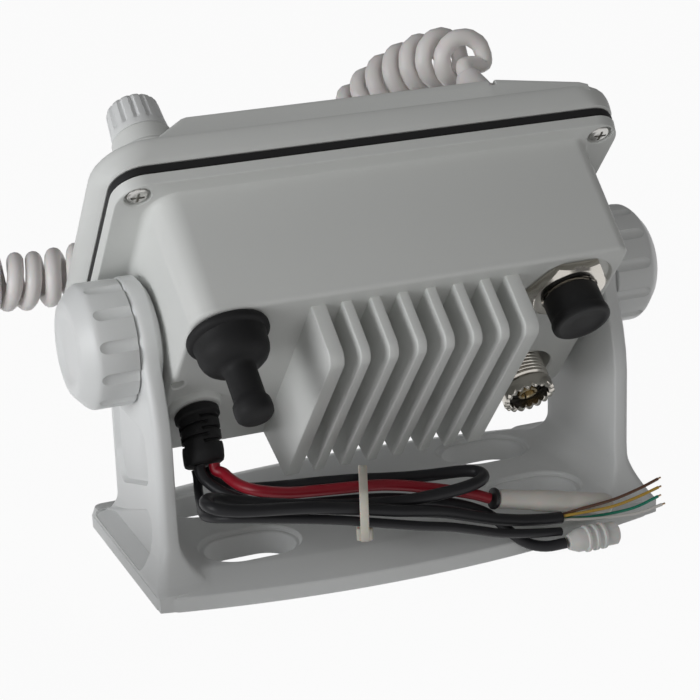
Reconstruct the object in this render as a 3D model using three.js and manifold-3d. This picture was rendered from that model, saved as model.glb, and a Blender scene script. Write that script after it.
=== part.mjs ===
// A fixed-mount VHF marine radio in its yoke bracket, with its fist microphone, curly cord and rear cables.
// Millimetres, +Z up. The origin is the centre of the bracket base's underside, -Y is the display side.
// The radio's own pieces are drawn in its case frame (x across, y towards the fins, z up the case) and tilted about the pivot.
import * as THREE from "three";
import { mergeVertices } from "three/addons/utils/BufferGeometryUtils.js";
import Module from "manifold-3d";

const wasm = await Module();
wasm.setup();

// Driving dimensions
const seatGap = 0.3; // between pieces that rest on each other
const slack = 0.4; // around a piece that moves in a hole
const overrun = 2; // how far a cutter passes the face it cuts
const tilt = THREE.MathUtils.degToRad(40.44);
const pivotHeight = 67.2;

const flange = { halfWidth: 75, high: 45.6, low: -40, corner: 8.6, rear: -18.7, depth: 3.1, draft: 0.4 };
const shell = {
  rootHalfWidth: 67, rootHigh: 41, rootLow: -36.5, fillet: 3.2,
  frontHalfWidth: 65.1, frontHigh: 39.9, frontLow: -35.4,
  topHalfWidth: 64.1, bottomHalfWidth: 64.8, high: 38.8, low: -33.3, rear: 18.6,
  corners: [7, 4, 5, 5], edge: 1.3, wall: 3, cavityCorner: 4,
};
const fins = { count: 8, pitch: 8.15, outerThickness: 4.3, thickness: 2.9, tip: 36.5, top: 34.1, bottom: -27.2, knee: 3.5 };
const gasket = { thickness: 2.1, recess: 0.5, width: 6 };
const bezel = {
  rearHalfWidth: 75.7, halfWidth: 78.3, high: 47.8, low: -42.4, rearCorner: 10, corner: 15, flareDepth: 5.6, plateDepth: 8,
  lip: 1.2, wall: 2.4, panelFront: -38, panelLeft: 60.8, panelFlatLeft: 52, panelFlatRight: -40.6, panelRight: -66,
  panelSlope: 4.4, panelHigh: 47.4, panelLow: -38, panelCorner: 1.2, hollowSide: 12, hollowEnd: 4.6, notchWidth: 2.4, notchDepth: 2.2, notchHigh: 3.4,
};
const display = { x: 12, z: 14, width: 50, height: 36, glass: 1.6, ledge: 2, moduleDepth: 5 };
const speaker = { x: -35, z: -10, radius: 17, depth: 9, setBack: 2.8, slots: 7, slotWidth: 2.2, slotPitch: 4.4 };
const keys = { count: 4, x: -13, pitch: 13.5, z: -18, width: 10, height: 6, depth: 3.2, proud: 1, corner: 1.8 };
const distress = { x: 42, z: -19, width: 12, height: 8, proud: 0.4, flapBorder: 2, flapThickness: 1.4, hinge: 1.2 };
const channel = { x: 62, z: 38.4, skirt: 8.5, skirtEnd: -38.6, radius: 7.9, tipRadius: 7.3, height: 10.8, flutes: 14 };
const volume = { x: 50.5, z: 6, skirt: 8.5, skirtEnd: -39.2, radius: 7.6, tipRadius: 7, height: 9.6, flutes: 14 };
const knobShaft = { radius: 3, flat: 1, length: 12, bushRadius: 3.9, bushDepth: 1 };
const screws = { x: 68.9, high: 40.4, low: -34.8, boreRadius: 3.75, boreDepth: 1.6, headRadius: 3.1, headHeight: 1.5, shank: 1.5, length: 11, slot: 0.8 };
const antenna = {
  x: -48.4, z: -21.9, pocketRadius: 10.2, pocketDepth: 7.4, radius: 7.95, end: 28.4, threadStart: 12.6, threadEnd: 24.4,
  threadPitch: 1.45, threadDepth: 0.5, neck: 7.3, bore: 6.2, teeth: 12, toothDepth: 1.2, flangeRadius: 9.4, flangeDepth: 1,
  insulatorEnd: 25.2, contactRadius: 3.1, contactBore: 2, contactEnd: 27, tail: 8,
};
const accessory = {
  x: -49, z: 23.1, recessRadius: 13.4, recessDepth: 1.1, nutRadius: 12.7, nutDepth: 3.2, barrel: 7, barrelEnd: 26, inside: 9,
  capRadius: 8.1, capEndRadius: 8.5, capEnd: 31.3, capWall: 0.9, capStart: 21.6, travel: 14,
};
const boot = { x: 53.2, z: 28.2, flangeRadius: 11.4, flangeDepth: 2.4, domeRadius: 9.9, domeEnd: 30, tailRadius: 4.4, tailEnd: 46, bulb: 5.2, jackRadius: 5, jackLength: 6 };
const relief = { x: 55.6, z: -9.4, bossRadius: 7.9, bossTop: 7.1, bossDepth: 1.9, rootRadius: 6.4, waist: 5.5, headRadius: 5.7, endRadius: 5.3, endX: 56.7, endY: 35, endZ: -13.6, faceSlope: -0.29 };
const tapped = { x: 62.4, z: 3.6, radius: 2.1, depth: 1.9 };
const cordRelief = { x: -38, z: 38.5, baseRadius: 6.6, neckRadius: 5.4, tipRadius: 3.3, end: -46.8, bore: 3.4, recess: 7.4 };
const powerModule = { x: 0, z: 6, width: 44, height: 12, depth: 6 };
const washer = { radius: 9.4, thickness: 1.1, room: 0.7 };
const arm = {
  clearance: 2.2, width: 5, ear: 17.6, earStep: 1.6, earFace: 15.2, washerRecess: 10, rearFoot: 36, frontEdge: 18.1, flareHigh: 16.5, flareLow: 6.4,
  rearEdge: [[36, 4.5], [32.2, 6], [29, 8.4], [26.4, 12], [24.8, 17], [24.6, 42], [22.4, 52]],
  studHole: 3.5, innerFillet: 8, outerFlareHigh: 15, outerFlareLow: 4.5, panelDepth: 2,
  upperPanel: [[-10.7, 21.4], [15.6, 29.9], [16.2, 36], [13.5, 45.4], [-14.6, 45.4], [-15.4, 30.4]],
  footPanel: [[-29, 4.5], [-23.4, 8.6], [-2.3, 17.2], [13.6, 23.2], [16.9, 19.6], [15.2, 8], [13.4, 4.5]],
};
// the arms stand clear of the widest part of the case, and the pivots, washers, clamps and boards follow them
const armInner = Math.max(shell.rootHalfWidth + seatGap, shell.frontHalfWidth + arm.clearance);
const armOuter = armInner + arm.width;
const earInner = armInner - arm.earStep;
const pivot = { bossRadius: 12, bore: 3.4, boreDepth: 9, innerBoss: 8, bossLength: 12 };
const bossFace = earInner - washer.room;
const bossInner = bossFace - pivot.bossLength;
const boards = { frontDepth: 1.6, frontY: -24.5, mainDepth: 1.6, mainY: 2, sideRoom: 1, high: 30, low: -27, post: 2.2, posts: [[-49.5, 27], [-49.5, -24.6], [46.5, 27], [30, -25.4]] };
const base = { flare: 4.4, sideDepth: 33.7, bow: 9.9, rim: 4.5, plateau: 8, band: 10.4, slotX: 44.5, slotY: 17, slotRadius: 8.8, slotHalf: 4.3, lip: 1.5, lipDepth: 1.4 };
const baseHalfWidth = armOuter + base.flare;
const clamp = { length: 15.6, radius: 17.45, chamfer: 4.2, faceRadius: 12.6, dish: 1.2, dishRadius: 9, grips: 12, gripDepth: 1, gripWidth: 3.6, gripLength: 12, studRadius: 3, studReach: 8, socket: 6 };
const clampInner = armOuter + seatGap;
const mic = {
  x: 169, near: -2, length: 92, width: 58, neckWidth: 40, height: 31, floorGap: 0.2, split: 15, wall: 2.4, corner: 12, studRadius: 5, studHeight: 3,
  pttLength: 34, pttWidth: 9, pttProud: 3.2, pttTravel: 1.6, pttDepth: 10.5, keyRadius: 3.6, keyTravel: 0.8, reliefLength: 16, reliefRoot: 5.6, reliefTip: 4.2, axisHeight: 11,
};
const cord = {
  wire: 5, curlRadius: 6.4, stepsPerCurl: 7, sides: 5, wider: 1.6, lead: 3.2, lean: 1.4,
  // how far along the axis, and the pitch of the curls there
  pitches: [[0, 9], [12, 6.5], [50, 6.3], [70, 6.6], [150, 6.6], [165, 5.5], [205, 5.5], [225, 7.2], [330, 7.2]],
};
const wires = { power: 3.2, thick: 3.5, thin: 2.6, conductor: 0.9, start: 0.6, lead: 1.7, spread: 0.62 };
const sleeve = { radius: 2.8, ringRadius: 3.1, ringLength: 1.2, swell: 3.1 };
const tie = { x: 19, y: 40, z: 24, across: 25.6, high: 12.8, corner: 5, width: 2.4, thickness: 1.1, head: 4.6, turn: -22 };
const plug = { length: 15.7, radius: 3.3, nose: 2.2, ribs: 3, ribDepth: 0.5, ribWidth: 1.4 };
const keyTravel = 0.8;
const roundSides = 18;
const smallSides = 10;

// Materials
const finish = (color, roughness, metalness = 0) => new THREE.MeshStandardMaterial({ color, roughness, metalness });
const whiteCase = finish(0xd9dbdc, 0.5);
const whiteBracket = finish(0xdfe0e1, 0.5);
const whiteCord = finish(0xe4deda, 0.45);
const blackRubber = finish(0x101010, 0.75);
const blackPlastic = finish(0x161616, 0.5);
const greyPlastic = finish(0x8d9092, 0.5);
const redPlastic = finish(0xb01818, 0.45);
const glass = finish(0x20262a, 0.12);
const boardGreen = finish(0x1f5a34, 0.6);
const nickel = finish(0xb5aea3, 0.3, 1);
const brass = finish(0xb08d45, 0.35, 1);
const steel = finish(0x9a9a9a, 0.35, 1);
const redWire = finish(0xa30f20, 0.45);
const clearSleeve = finish(0xe6e2da, 0.4);

// Solids: a closed geometry becomes a manifold solid for joining and cutting, and comes back as a geometry
function closed(geometry) {
  const bare = geometry.clone();
  bare.deleteAttribute("normal");
  bare.deleteAttribute("uv");
  const merged = mergeVertices(bare, 1e-4);
  const place = merged.attributes.position.array;
  const index = merged.index.array;
  let volume = 0;
  const [a, b, c] = [new THREE.Vector3(), new THREE.Vector3(), new THREE.Vector3()];
  for (let i = 0; i < index.length; i += 3) {
    a.fromArray(place, index[i] * 3);
    b.fromArray(place, index[i + 1] * 3);
    c.fromArray(place, index[i + 2] * 3);
    volume += a.dot(b.cross(c));
  }
  if (volume < 0) for (let i = 0; i < index.length; i += 3) [index[i + 1], index[i + 2]] = [index[i + 2], index[i + 1]];
  return merged;
}

function solid(geometry) {
  const whole = closed(geometry);
  return new wasm.Manifold(
    new wasm.Mesh({
      numProp: 3,
      vertProperties: new Float32Array(whole.attributes.position.array),
      triVerts: new Uint32Array(whole.index.array),
    }),
  );
}

function geometryOf(shape) {
  const mesh = shape.getMesh();
  const points = new Float32Array(mesh.numVert * 3);
  for (let i = 0; i < mesh.numVert; i++) points.set(mesh.vertProperties.subarray(i * mesh.numProp, i * mesh.numProp + 3), i * 3);
  const geometry = new THREE.BufferGeometry();
  geometry.setAttribute("position", new THREE.BufferAttribute(points, 3));
  geometry.setIndex(new THREE.BufferAttribute(new Uint32Array(mesh.triVerts), 1));
  geometry.computeVertexNormals();
  return geometry;
}

const join = (first, ...rest) => rest.reduce((whole, piece) => whole.add(piece), first);
const cut = (first, ...rest) => rest.reduce((whole, piece) => whole.subtract(piece), first);

// A box between two corners
function block([x0, x1], [y0, y1], [z0, z1]) {
  const g = new THREE.BoxGeometry(x1 - x0, y1 - y0, z1 - z0);
  return g.translate((x0 + x1) / 2, (y0 + y1) / 2, (z0 + z1) / 2);
}

// A turned piece about an axis along y through (x, z): the profile lists radius and y
function turned(profile, x, z, sides = roundSides) {
  const g = new THREE.LatheGeometry(profile.map(([r, y]) => new THREE.Vector2(r, y)), sides);
  return g.translate(x, 0, z);
}

const disc = (radius, y0, y1, x, z, sides) => turned([[0, y0], [radius, y0], [radius, y1], [0, y1]], x, z, sides);

// The same about an axis along x through the pivot, or along z through (x, y)
const turnedX = (profile, sides = roundSides) => turned(profile, 0, 0, sides).rotateZ(-Math.PI / 2);
const turnedZ = (profile, x, y, sides = roundSides) => turned(profile, 0, 0, sides).rotateX(Math.PI / 2).translate(x, y, 0);

// A skin through rings that hold the same number of points, with a flat cap at each end
function loft(rings) {
  const n = rings[0].length;
  const points = rings.flat().flatMap((p) => [p.x, p.y, p.z]);
  const index = [];
  for (let k = 0; k + 1 < rings.length; k++) {
    for (let i = 0; i < n; i++) {
      const [a, b] = [k * n + i, k * n + ((i + 1) % n)];
      index.push(a, b, b + n, a, b + n, a + n);
    }
  }
  const last = (rings.length - 1) * n;
  for (let i = 1; i + 1 < n; i++) index.push(0, i + 1, i, last, last + i, last + i + 1);
  const g = new THREE.BufferGeometry();
  g.setAttribute("position", new THREE.Float32BufferAttribute(points, 3));
  g.setIndex(index);
  return g;
}

// A rounded rectangle across the case at depth y, wider or narrower at its foot than at its head, with one radius or one for each corner
function caseRing(y, topHalf, bottomHalf, low, high, radius, steps = 3) {
  const radii = Array.isArray(radius) ? radius : [radius, radius, radius, radius];
  const corners = [[topHalf, high, 1, 1], [-topHalf, high, -1, 1], [-bottomHalf, low, -1, -1], [bottomHalf, low, 1, -1]];
  return corners.flatMap(([x, z, sx, sz], quarter) =>
    Array.from({ length: steps + 1 }, (_, i) => {
      const angle = (quarter + i / steps) * (Math.PI / 2);
      const r = radii[quarter];
      return new THREE.Vector3(x - sx * r + r * Math.cos(angle), y, z - sz * r + r * Math.sin(angle));
    }),
  );
}
const grown = (radii, by) => radii.map((r) => r + by);

// An outline pulled through a depth: along z, or turned so that its x and y become the case's x and z
function extruded(points, depth, holes = []) {
  const shape = new THREE.Shape(points.map(([x, y]) => new THREE.Vector2(x, y)));
  for (const hole of holes) shape.holes.push(new THREE.Path(hole.map(([x, y]) => new THREE.Vector2(x, y))));
  return new THREE.ExtrudeGeometry(shape, { depth, bevelEnabled: false, steps: 1 });
}
const panelXZ = (points, y0, y1) => extruded(points, y1 - y0).rotateX(Math.PI / 2).translate(0, y1, 0);

function roundedOutline(x, y, width, height, radius, steps = 3) {
  const out = [];
  const corners = [[1, 1, 0], [-1, 1, 1], [-1, -1, 2], [1, -1, 3]];
  for (const [sx, sy, quarter] of corners) {
    for (let i = 0; i <= steps; i++) {
      const angle = (quarter + i / steps) * (Math.PI / 2);
      out.push([x + sx * (width / 2 - radius) + radius * Math.cos(angle), y + sy * (height / 2 - radius) + radius * Math.sin(angle)]);
    }
  }
  return out;
}

// A tube along a smooth curve through the points, with square ends
function tube(points, diameter, sides, step) {
  const curve = new THREE.CatmullRomCurve3(points.map(([x, y, z]) => new THREE.Vector3(x, y, z)), false, "centripetal");
  curve.arcLengthDivisions = 400;
  const section = new THREE.Shape();
  for (let i = 0; i < sides; i++) {
    const angle = (2 * Math.PI * i) / sides;
    const [x, y] = [(diameter / 2) * Math.cos(angle), (diameter / 2) * Math.sin(angle)];
    i ? section.lineTo(x, y) : section.moveTo(x, y);
  }
  return new THREE.ExtrudeGeometry(section, { steps: Math.ceil(curve.getLength() / step), extrudePath: curve });
}

const radio = new THREE.Group();
radio.position.z = pivotHeight;
radio.rotation.x = -tilt;
const whole = new THREE.Group();
whole.add(radio);

function place(group, name, shape, material) {
  const mesh = new THREE.Mesh(shape.isBufferGeometry ? closed(shape) : geometryOf(shape), material);
  mesh.name = name;
  group.add(mesh);
}

// Rear case: flange, tapered shell open to the front, eight fins, and the seats of what passes through its rear wall
const flangeFront = flange.rear - flange.depth;
const rearInside = shell.rear - shell.wall;
function rearCase() {
  const outer = loft([
    caseRing(flangeFront, flange.halfWidth + flange.draft, flange.halfWidth + flange.draft, flange.low - flange.draft, flange.high + flange.draft, flange.corner),
    caseRing(flange.rear, flange.halfWidth, flange.halfWidth, flange.low, flange.high, flange.corner),
  ]);
  const body = loft([
    caseRing(flange.rear - overrun / 2, shell.rootHalfWidth, shell.rootHalfWidth, shell.rootLow, shell.rootHigh, grown(shell.corners, shell.fillet)),
    caseRing(flange.rear, shell.rootHalfWidth, shell.rootHalfWidth, shell.rootLow, shell.rootHigh, grown(shell.corners, shell.fillet)),
    caseRing(flange.rear + shell.fillet, shell.frontHalfWidth, shell.frontHalfWidth, shell.frontLow, shell.frontHigh, shell.corners),
    caseRing(shell.rear - shell.edge, shell.topHalfWidth, shell.bottomHalfWidth, shell.low, shell.high, shell.corners),
    caseRing(shell.rear, shell.topHalfWidth - shell.edge, shell.bottomHalfWidth - shell.edge, shell.low + shell.edge, shell.high - shell.edge, grown(shell.corners, -shell.edge)),
  ]);
  const cavity = loft([
    caseRing(flangeFront - overrun, shell.topHalfWidth - shell.wall, shell.topHalfWidth - shell.wall, shell.low + shell.wall, shell.high - shell.wall, shell.cavityCorner),
    caseRing(rearInside, shell.topHalfWidth - shell.wall, shell.topHalfWidth - shell.wall, shell.low + shell.wall, shell.high - shell.wall, shell.cavityCorner),
  ]);
  const finSide = [
    [shell.rear - overrun / 2, fins.top], [fins.tip - fins.knee, fins.top], [fins.tip - fins.knee * 0.3, fins.top - fins.knee * 0.3],
    [fins.tip, fins.top - fins.knee], [fins.tip, fins.bottom], [shell.rear - overrun / 2, shell.low + shell.edge],
  ];
  const finPieces = Array.from({ length: fins.count }, (_, i) => {
    const outerFin = i === 0 || i === fins.count - 1;
    const thickness = outerFin ? fins.outerThickness : fins.thickness;
    const x = (i - (fins.count - 1) / 2) * fins.pitch;
    // the outline's x and y are the case's y and z
    return solid(extruded(finSide, thickness).rotateZ(Math.PI / 2).rotateY(Math.PI / 2).translate(x - thickness / 2, 0, 0));
  });
  const pivotBoss = turnedX([[0, bossInner], [pivot.innerBoss, bossInner], [pivot.innerBoss, shell.topHalfWidth - shell.wall], [pivot.bossRadius, shell.topHalfWidth - shell.wall], [pivot.bossRadius, bossFace], [0, bossFace]]);
  const pivotBore = turnedX([[0, bossFace - pivot.boreDepth], [pivot.bore, bossFace - pivot.boreDepth], [pivot.bore, bossFace + overrun], [0, bossFace + overrun]], smallSides);
  const pocketCup = disc(antenna.pocketRadius + shell.wall, shell.rear - antenna.pocketDepth - shell.wall, rearInside + overrun / 2, antenna.x, antenna.z);
  const postsX = shell.topHalfWidth - shell.wall;
  const screwPlaces = screwCentres();
  let whole = join(solid(outer), solid(body), ...finPieces);
  whole = cut(whole, solid(cavity));
  whole = join(whole, solid(pocketCup).subtract(solid(block([-postsX, postsX], [-overrun, rearInside + overrun], [shell.low - flange.high, shell.low + shell.wall]))));
  whole = join(whole, solid(pivotBoss), solid(pivotBoss.clone().rotateZ(Math.PI)));
  whole = join(whole, solid(disc(relief.bossTop, shell.rear - overrun / 2, shell.rear + relief.bossDepth, relief.x, relief.z)));
  const cutters = [
    solid(pivotBore), solid(pivotBore.clone().rotateZ(Math.PI)),
    solid(disc(antenna.pocketRadius, shell.rear - antenna.pocketDepth, shell.rear + overrun, antenna.x, antenna.z)),
    solid(disc(antenna.neck + slack, shell.rear - antenna.pocketDepth - shell.wall - overrun, shell.rear, antenna.x, antenna.z)),
    solid(disc(accessory.recessRadius, shell.rear - accessory.recessDepth, shell.rear + overrun, accessory.x, accessory.z)),
    solid(disc(accessory.barrel + seatGap, rearInside - overrun, shell.rear + overrun, accessory.x, accessory.z)),
    solid(disc(boot.jackRadius + seatGap, rearInside - overrun, shell.rear + overrun, boot.x, boot.z, smallSides)),
    solid(disc(tapped.radius, shell.rear - tapped.depth, shell.rear + overrun, tapped.x, tapped.z, smallSides)),
    ...screwPlaces.flatMap(([x, z]) => [
      solid(disc(screws.boreRadius, flange.rear - screws.boreDepth, flange.rear + screws.boreRadius * 2, x, z)),
      solid(disc(screws.shank + slack, flangeFront - overrun, flange.rear, x, z, smallSides)),
    ]),
  ];
  return cut(whole, ...cutters);
}

const screwCentres = () => [[screws.x, screws.high], [-screws.x, screws.high], [-screws.x, screws.low], [screws.x, screws.low]];

function caseScrew([x, z]) {
  const seat = flange.rear - screws.boreDepth + seatGap;
  const body = turned([[0, seat - screws.length], [screws.shank, seat - screws.length], [screws.shank, seat], [screws.headRadius, seat], [screws.headRadius, seat + screws.headHeight * 0.6], [screws.headRadius * 0.7, seat + screws.headHeight], [0, seat + screws.headHeight]], x, z, smallSides);
  const top = seat + screws.headHeight;
  const slot = block([x - screws.slot / 2, x + screws.slot / 2], [top - screws.headHeight * 0.55, top + overrun], [z - screws.headRadius * 0.55, z + screws.headRadius * 0.55]);
  return cut(solid(body), solid(slot));
}

// The black gasket between flange and bezel: a ring with room for the case screws
const gasketRear = flangeFront - seatGap;
const gasketFront = gasketRear - gasket.thickness;
function caseGasket() {
  const outline = (y, inset) => caseRing(y, bezel.rearHalfWidth - inset, bezel.rearHalfWidth - inset, bezel.low + gasket.recess + inset, bezel.high - gasket.recess * 2 - inset, flange.corner);
  const outer = loft([outline(gasketFront, gasket.recess), outline(gasketRear, gasket.recess)]);
  const hole = loft([0, 1].map((i) => {
    const y = i ? gasketRear + overrun : gasketFront - overrun;
    return caseRing(y, bezel.rearHalfWidth - gasket.width * 2, bezel.rearHalfWidth - gasket.width * 2, bezel.low + gasket.width, bezel.high - gasket.width, flange.corner);
  }));
  const holes = screwCentres().map(([x, z]) => solid(disc(screws.shank + slack, gasketFront - overrun, gasketRear + overrun, x, z, smallSides)));
  return cut(solid(outer), solid(hole), ...holes);
}

// Front bezel: a plate with flared sides, a raised panel with sloped ends, bosses under the knobs and every opening of the front
const bezelRear = gasketFront - seatGap;
const frontBoardFront = bezelRear + seatGap * 3;
const plateFront = bezelRear - bezel.plateDepth;
function frontBezel() {
  const h = bezel.halfWidth;
  const plate = loft([
    caseRing(bezelRear, bezel.rearHalfWidth, bezel.rearHalfWidth, bezel.low + gasket.recess, bezel.high - gasket.recess * 2, bezel.rearCorner - gasket.recess),
    caseRing(bezelRear - bezel.flareDepth, h, h, bezel.low - gasket.recess, bezel.high, bezel.corner),
    caseRing(plateFront + bezel.lip / 2, h - bezel.lip / 3, h - bezel.lip / 3, bezel.low, bezel.high - bezel.lip / 4, bezel.corner),
    caseRing(plateFront, h - bezel.lip, h - bezel.lip, bezel.low + bezel.lip, bezel.high - bezel.lip / 2, bezel.corner - bezel.lip),
  ]);
  const back = plateFront + overrun;
  const raised = extruded(
    [
      [bezel.panelLeft, back], [bezel.panelLeft, plateFront], [bezel.panelFlatLeft, bezel.panelFront], [bezel.panelFlatRight, bezel.panelFront],
      [bezel.panelRight, bezel.panelFront + bezel.panelSlope], [bezel.panelRight - bezel.panelCorner * 2, plateFront], [bezel.panelRight - bezel.panelCorner * 2, back],
    ],
    bezel.panelHigh - bezel.panelLow,
  ).translate(0, 0, bezel.panelLow);
  const boss = (knob) => solid(disc(knob.skirt, plateFront + overrun, knob.skirtEnd, knob.x, knob.z));
  const inside = bezel.panelFront + bezel.wall;
  const plateHollow = block([-h + bezel.hollowSide, h - bezel.hollowSide], [plateFront + bezel.wall, bezelRear + overrun], [bezel.low + gasket.width, bezel.high - bezel.hollowEnd]);
  const panelHollow = extruded(
    [
      [bezel.panelFlatLeft, plateFront + bezel.wall * 2], [bezel.panelFlatLeft - bezel.wall, inside], [bezel.panelFlatRight, inside],
      [bezel.panelRight + bezel.wall * 2, inside + bezel.panelSlope], [bezel.panelRight + bezel.wall * 2, plateFront + bezel.wall * 2],
    ],
    bezel.panelHigh - bezel.panelLow - bezel.wall * 2,
  ).translate(0, 0, bezel.panelLow + bezel.wall);
  const front = bezel.panelFront - overrun;
  const through = plateFront + bezel.wall * 2;
  const windowHole = panelXZ(roundedOutline(display.x, display.z, display.width - display.ledge * 2, display.height - display.ledge * 2, display.ledge), front, through);
  const windowSeat = panelXZ(roundedOutline(display.x, display.z, display.width, display.height, display.ledge * 1.5), front, bezel.panelFront + display.glass - seatGap);
  const grille = Array.from({ length: speaker.slots }, (_, i) => {
    const z = speaker.z + (i - (speaker.slots - 1) / 2) * speaker.slotPitch;
    const half = Math.sqrt(speaker.radius ** 2 - (z - speaker.z) ** 2) - speaker.slotWidth;
    return solid(panelXZ(roundedOutline(speaker.x, z, half * 2, speaker.slotWidth, speaker.slotWidth * 0.45, 2), front, through));
  });
  const keyHoles = keyCentres().map(([x, z]) => solid(panelXZ(roundedOutline(x, z, keys.width + slack * 2, keys.height + slack * 2, keys.corner), front, through)));
  const distressHole = panelXZ(roundedOutline(distress.x, distress.z, distress.width + slack * 2, distress.height + slack * 2, keys.corner), front, through);
  const shaftHole = (knob) => solid(disc(knobShaft.radius + slack, knob.skirtEnd - overrun, bezelRear, knob.x, knob.z, smallSides));
  const notch = block([bezel.panelFlatRight, bezel.panelFlatRight + bezel.notchWidth], [front, bezel.panelFront + bezel.notchDepth], [bezel.panelHigh - bezel.notchHigh, bezel.panelHigh + overrun]);
  const cordHole = disc(cordRelief.bore, front, bezelRear, cordRelief.x, cordRelief.z, smallSides);
  const cordSeat = disc(cordRelief.baseRadius + seatGap, front - overrun, bezel.panelFront + bezel.notchDepth, cordRelief.x, cordRelief.z);
  const screwHoles = screwCentres().map(([x, z]) => solid(disc(screws.shank + slack, bezelRear - (screws.length - flange.depth), bezelRear + overrun, x, z, smallSides)));
  const cordBoss = disc(cordRelief.baseRadius + bezel.wall, bezel.panelFront + bezel.notchDepth, plateFront + bezel.wall, cordRelief.x, cordRelief.z);
  let whole = join(solid(plate), solid(raised));
  whole = cut(whole, solid(plateHollow), solid(panelHollow));
  const boardPosts = boards.posts.map(([x, z]) => solid(disc(boards.post, bezel.panelFront + bezel.wall / 2, frontBoardFront - seatGap, x, z, smallSides)));
  whole = join(whole, boss(channel), boss(volume), solid(cordBoss), ...boardPosts);
  return cut(whole, solid(windowHole), solid(windowSeat), ...grille, ...keyHoles, solid(distressHole), shaftHole(channel), shaftHole(volume), solid(notch), solid(cordSeat), solid(cordHole), ...screwHoles);
}

const keyCentres = () => Array.from({ length: keys.count }, (_, i) => [keys.x + i * keys.pitch, keys.z]);

// A key: its cap stands proud of the panel and a wider foot behind the panel keeps it in
function keyCap(x, z, width, height, proud) {
  const inside = bezel.panelFront + bezel.wall;
  const cap = panelXZ(roundedOutline(x, z, width, height, keys.corner * 0.8), bezel.panelFront - proud, inside + seatGap * 2);
  const foot = panelXZ(roundedOutline(x, z, width + slack * 5, height + slack * 5, keys.corner), inside + seatGap, inside + seatGap + slack * 2);
  return join(solid(cap), solid(foot));
}

function distressFlap() {
  const w = distress.width + distress.flapBorder * 2;
  const h = distress.height + distress.flapBorder * 2;
  const rear = bezel.panelFront - distress.proud - seatGap;
  const lid = panelXZ(roundedOutline(distress.x, distress.z, w, h, keys.corner), rear - distress.flapThickness, rear);
  return solid(lid).add(solid(flapBarrel(0, w)));
}

const flapHinge = () => ({ y: bezel.panelFront - seatGap - distress.hinge, z: distress.z + distress.height / 2 + distress.flapBorder });
function flapBarrel(inset, width) {
  const { y, z } = flapHinge();
  return turned([[0, -width / 2], [distress.hinge, -width / 2], [distress.hinge, width / 2], [0, width / 2]], 0, 0, 12).rotateZ(-Math.PI / 2).translate(distress.x, y, z);
}

// A fluted knob with a slightly smaller end, bored for its shaft
function flutedKnob(knob) {
  const start = knob.skirtEnd - seatGap;
  const end = start - knob.height;
  const ring = (y, radius, depth) =>
    Array.from({ length: knob.flutes * 3 }, (_, i) => {
      const angle = (2 * Math.PI * i) / (knob.flutes * 3);
      const r = radius - (i % 3 === 0 ? depth : depth * 0.1);
      return new THREE.Vector3(knob.x + r * Math.cos(angle), y, knob.z + r * Math.sin(angle));
    });
  const body = loft([
    ring(start, knob.radius, 0.1), ring(start - knob.height * 0.25, knob.radius * 0.985, 0.9),
    ring(end + knob.height * 0.12, knob.tipRadius, 0.9), ring(end, knob.tipRadius * 0.86, 0.3),
  ]);
  const bore = disc(knobShaft.radius + seatGap, start - knob.height * 0.6, start + overrun, knob.x, knob.z, smallSides);
  return cut(solid(body), solid(bore));
}

// The shaft of a knob, with the bush of its encoder behind the panel
function shaftOf(knob) {
  const tip = knob.skirtEnd - seatGap - knob.height * 0.6 + seatGap;
  const bush = plateFront + bezel.wall + slack;
  return turned([[0, tip], [knobShaft.radius, tip], [knobShaft.radius, bush], [knobShaft.bushRadius, bush], [knobShaft.bushRadius, bush + knobShaft.bushDepth], [0, bush + knobShaft.bushDepth]], knob.x, knob.z, smallSides);
}

// Antenna socket: a threaded shell with a toothed end, its insulator and the contact
function antennaShell() {
  const floor = shell.rear - antenna.pocketDepth;
  const profile = [[antenna.bore, floor - shell.wall], [antenna.neck, floor - shell.wall], [antenna.neck, floor + seatGap], [antenna.flangeRadius, floor + seatGap], [antenna.flangeRadius, floor + seatGap + antenna.flangeDepth], [antenna.neck, floor + seatGap + antenna.flangeDepth]];
  for (let y = Math.max(antenna.threadStart, floor + seatGap + antenna.flangeDepth + 0.2); y + antenna.threadPitch <= antenna.threadEnd; y += antenna.threadPitch) {
    profile.push([antenna.radius - antenna.threadDepth, y], [antenna.radius, y + antenna.threadPitch / 2]);
  }
  profile.push([antenna.radius - antenna.threadDepth, antenna.threadEnd], [antenna.radius, antenna.threadEnd + antenna.threadPitch / 2], [antenna.radius, antenna.end], [antenna.bore, antenna.end], [antenna.bore, floor - shell.wall]);
  const body = turned(profile, antenna.x, antenna.z);
  const notches = Array.from({ length: antenna.teeth }, (_, i) => {
    const angle = (2 * Math.PI * i) / antenna.teeth;
    const tooth = extruded([[0, -antenna.toothDepth], [antenna.toothDepth * 0.8, overrun / 4], [-antenna.toothDepth * 0.8, overrun / 4]], antenna.radius * 1.4);
    // the notch's outline stands in x and y, and is pulled outwards from the axis
    return solid(tooth.rotateY(angle).translate(antenna.x, antenna.end, antenna.z));
  });
  return cut(solid(body), ...notches);
}

function antennaInsulator() {
  const start = shell.rear - antenna.pocketDepth - shell.wall;
  const r = antenna.bore - seatGap;
  return turned([[antenna.contactRadius + seatGap, start], [r, start], [r, antenna.insulatorEnd], [antenna.contactRadius + seatGap, antenna.insulatorEnd], [antenna.contactRadius + seatGap, start]], antenna.x, antenna.z, 24);
}

function antennaContact() {
  const start = shell.rear - antenna.pocketDepth - shell.wall - antenna.tail * 0.5;
  return turned([[0, start], [antenna.contactRadius, start], [antenna.contactRadius, antenna.contactEnd], [antenna.contactBore, antenna.contactEnd], [antenna.contactBore, antenna.contactEnd - antenna.tail], [0, antenna.contactEnd - antenna.tail]], antenna.x, antenna.z, smallSides);
}

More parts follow.
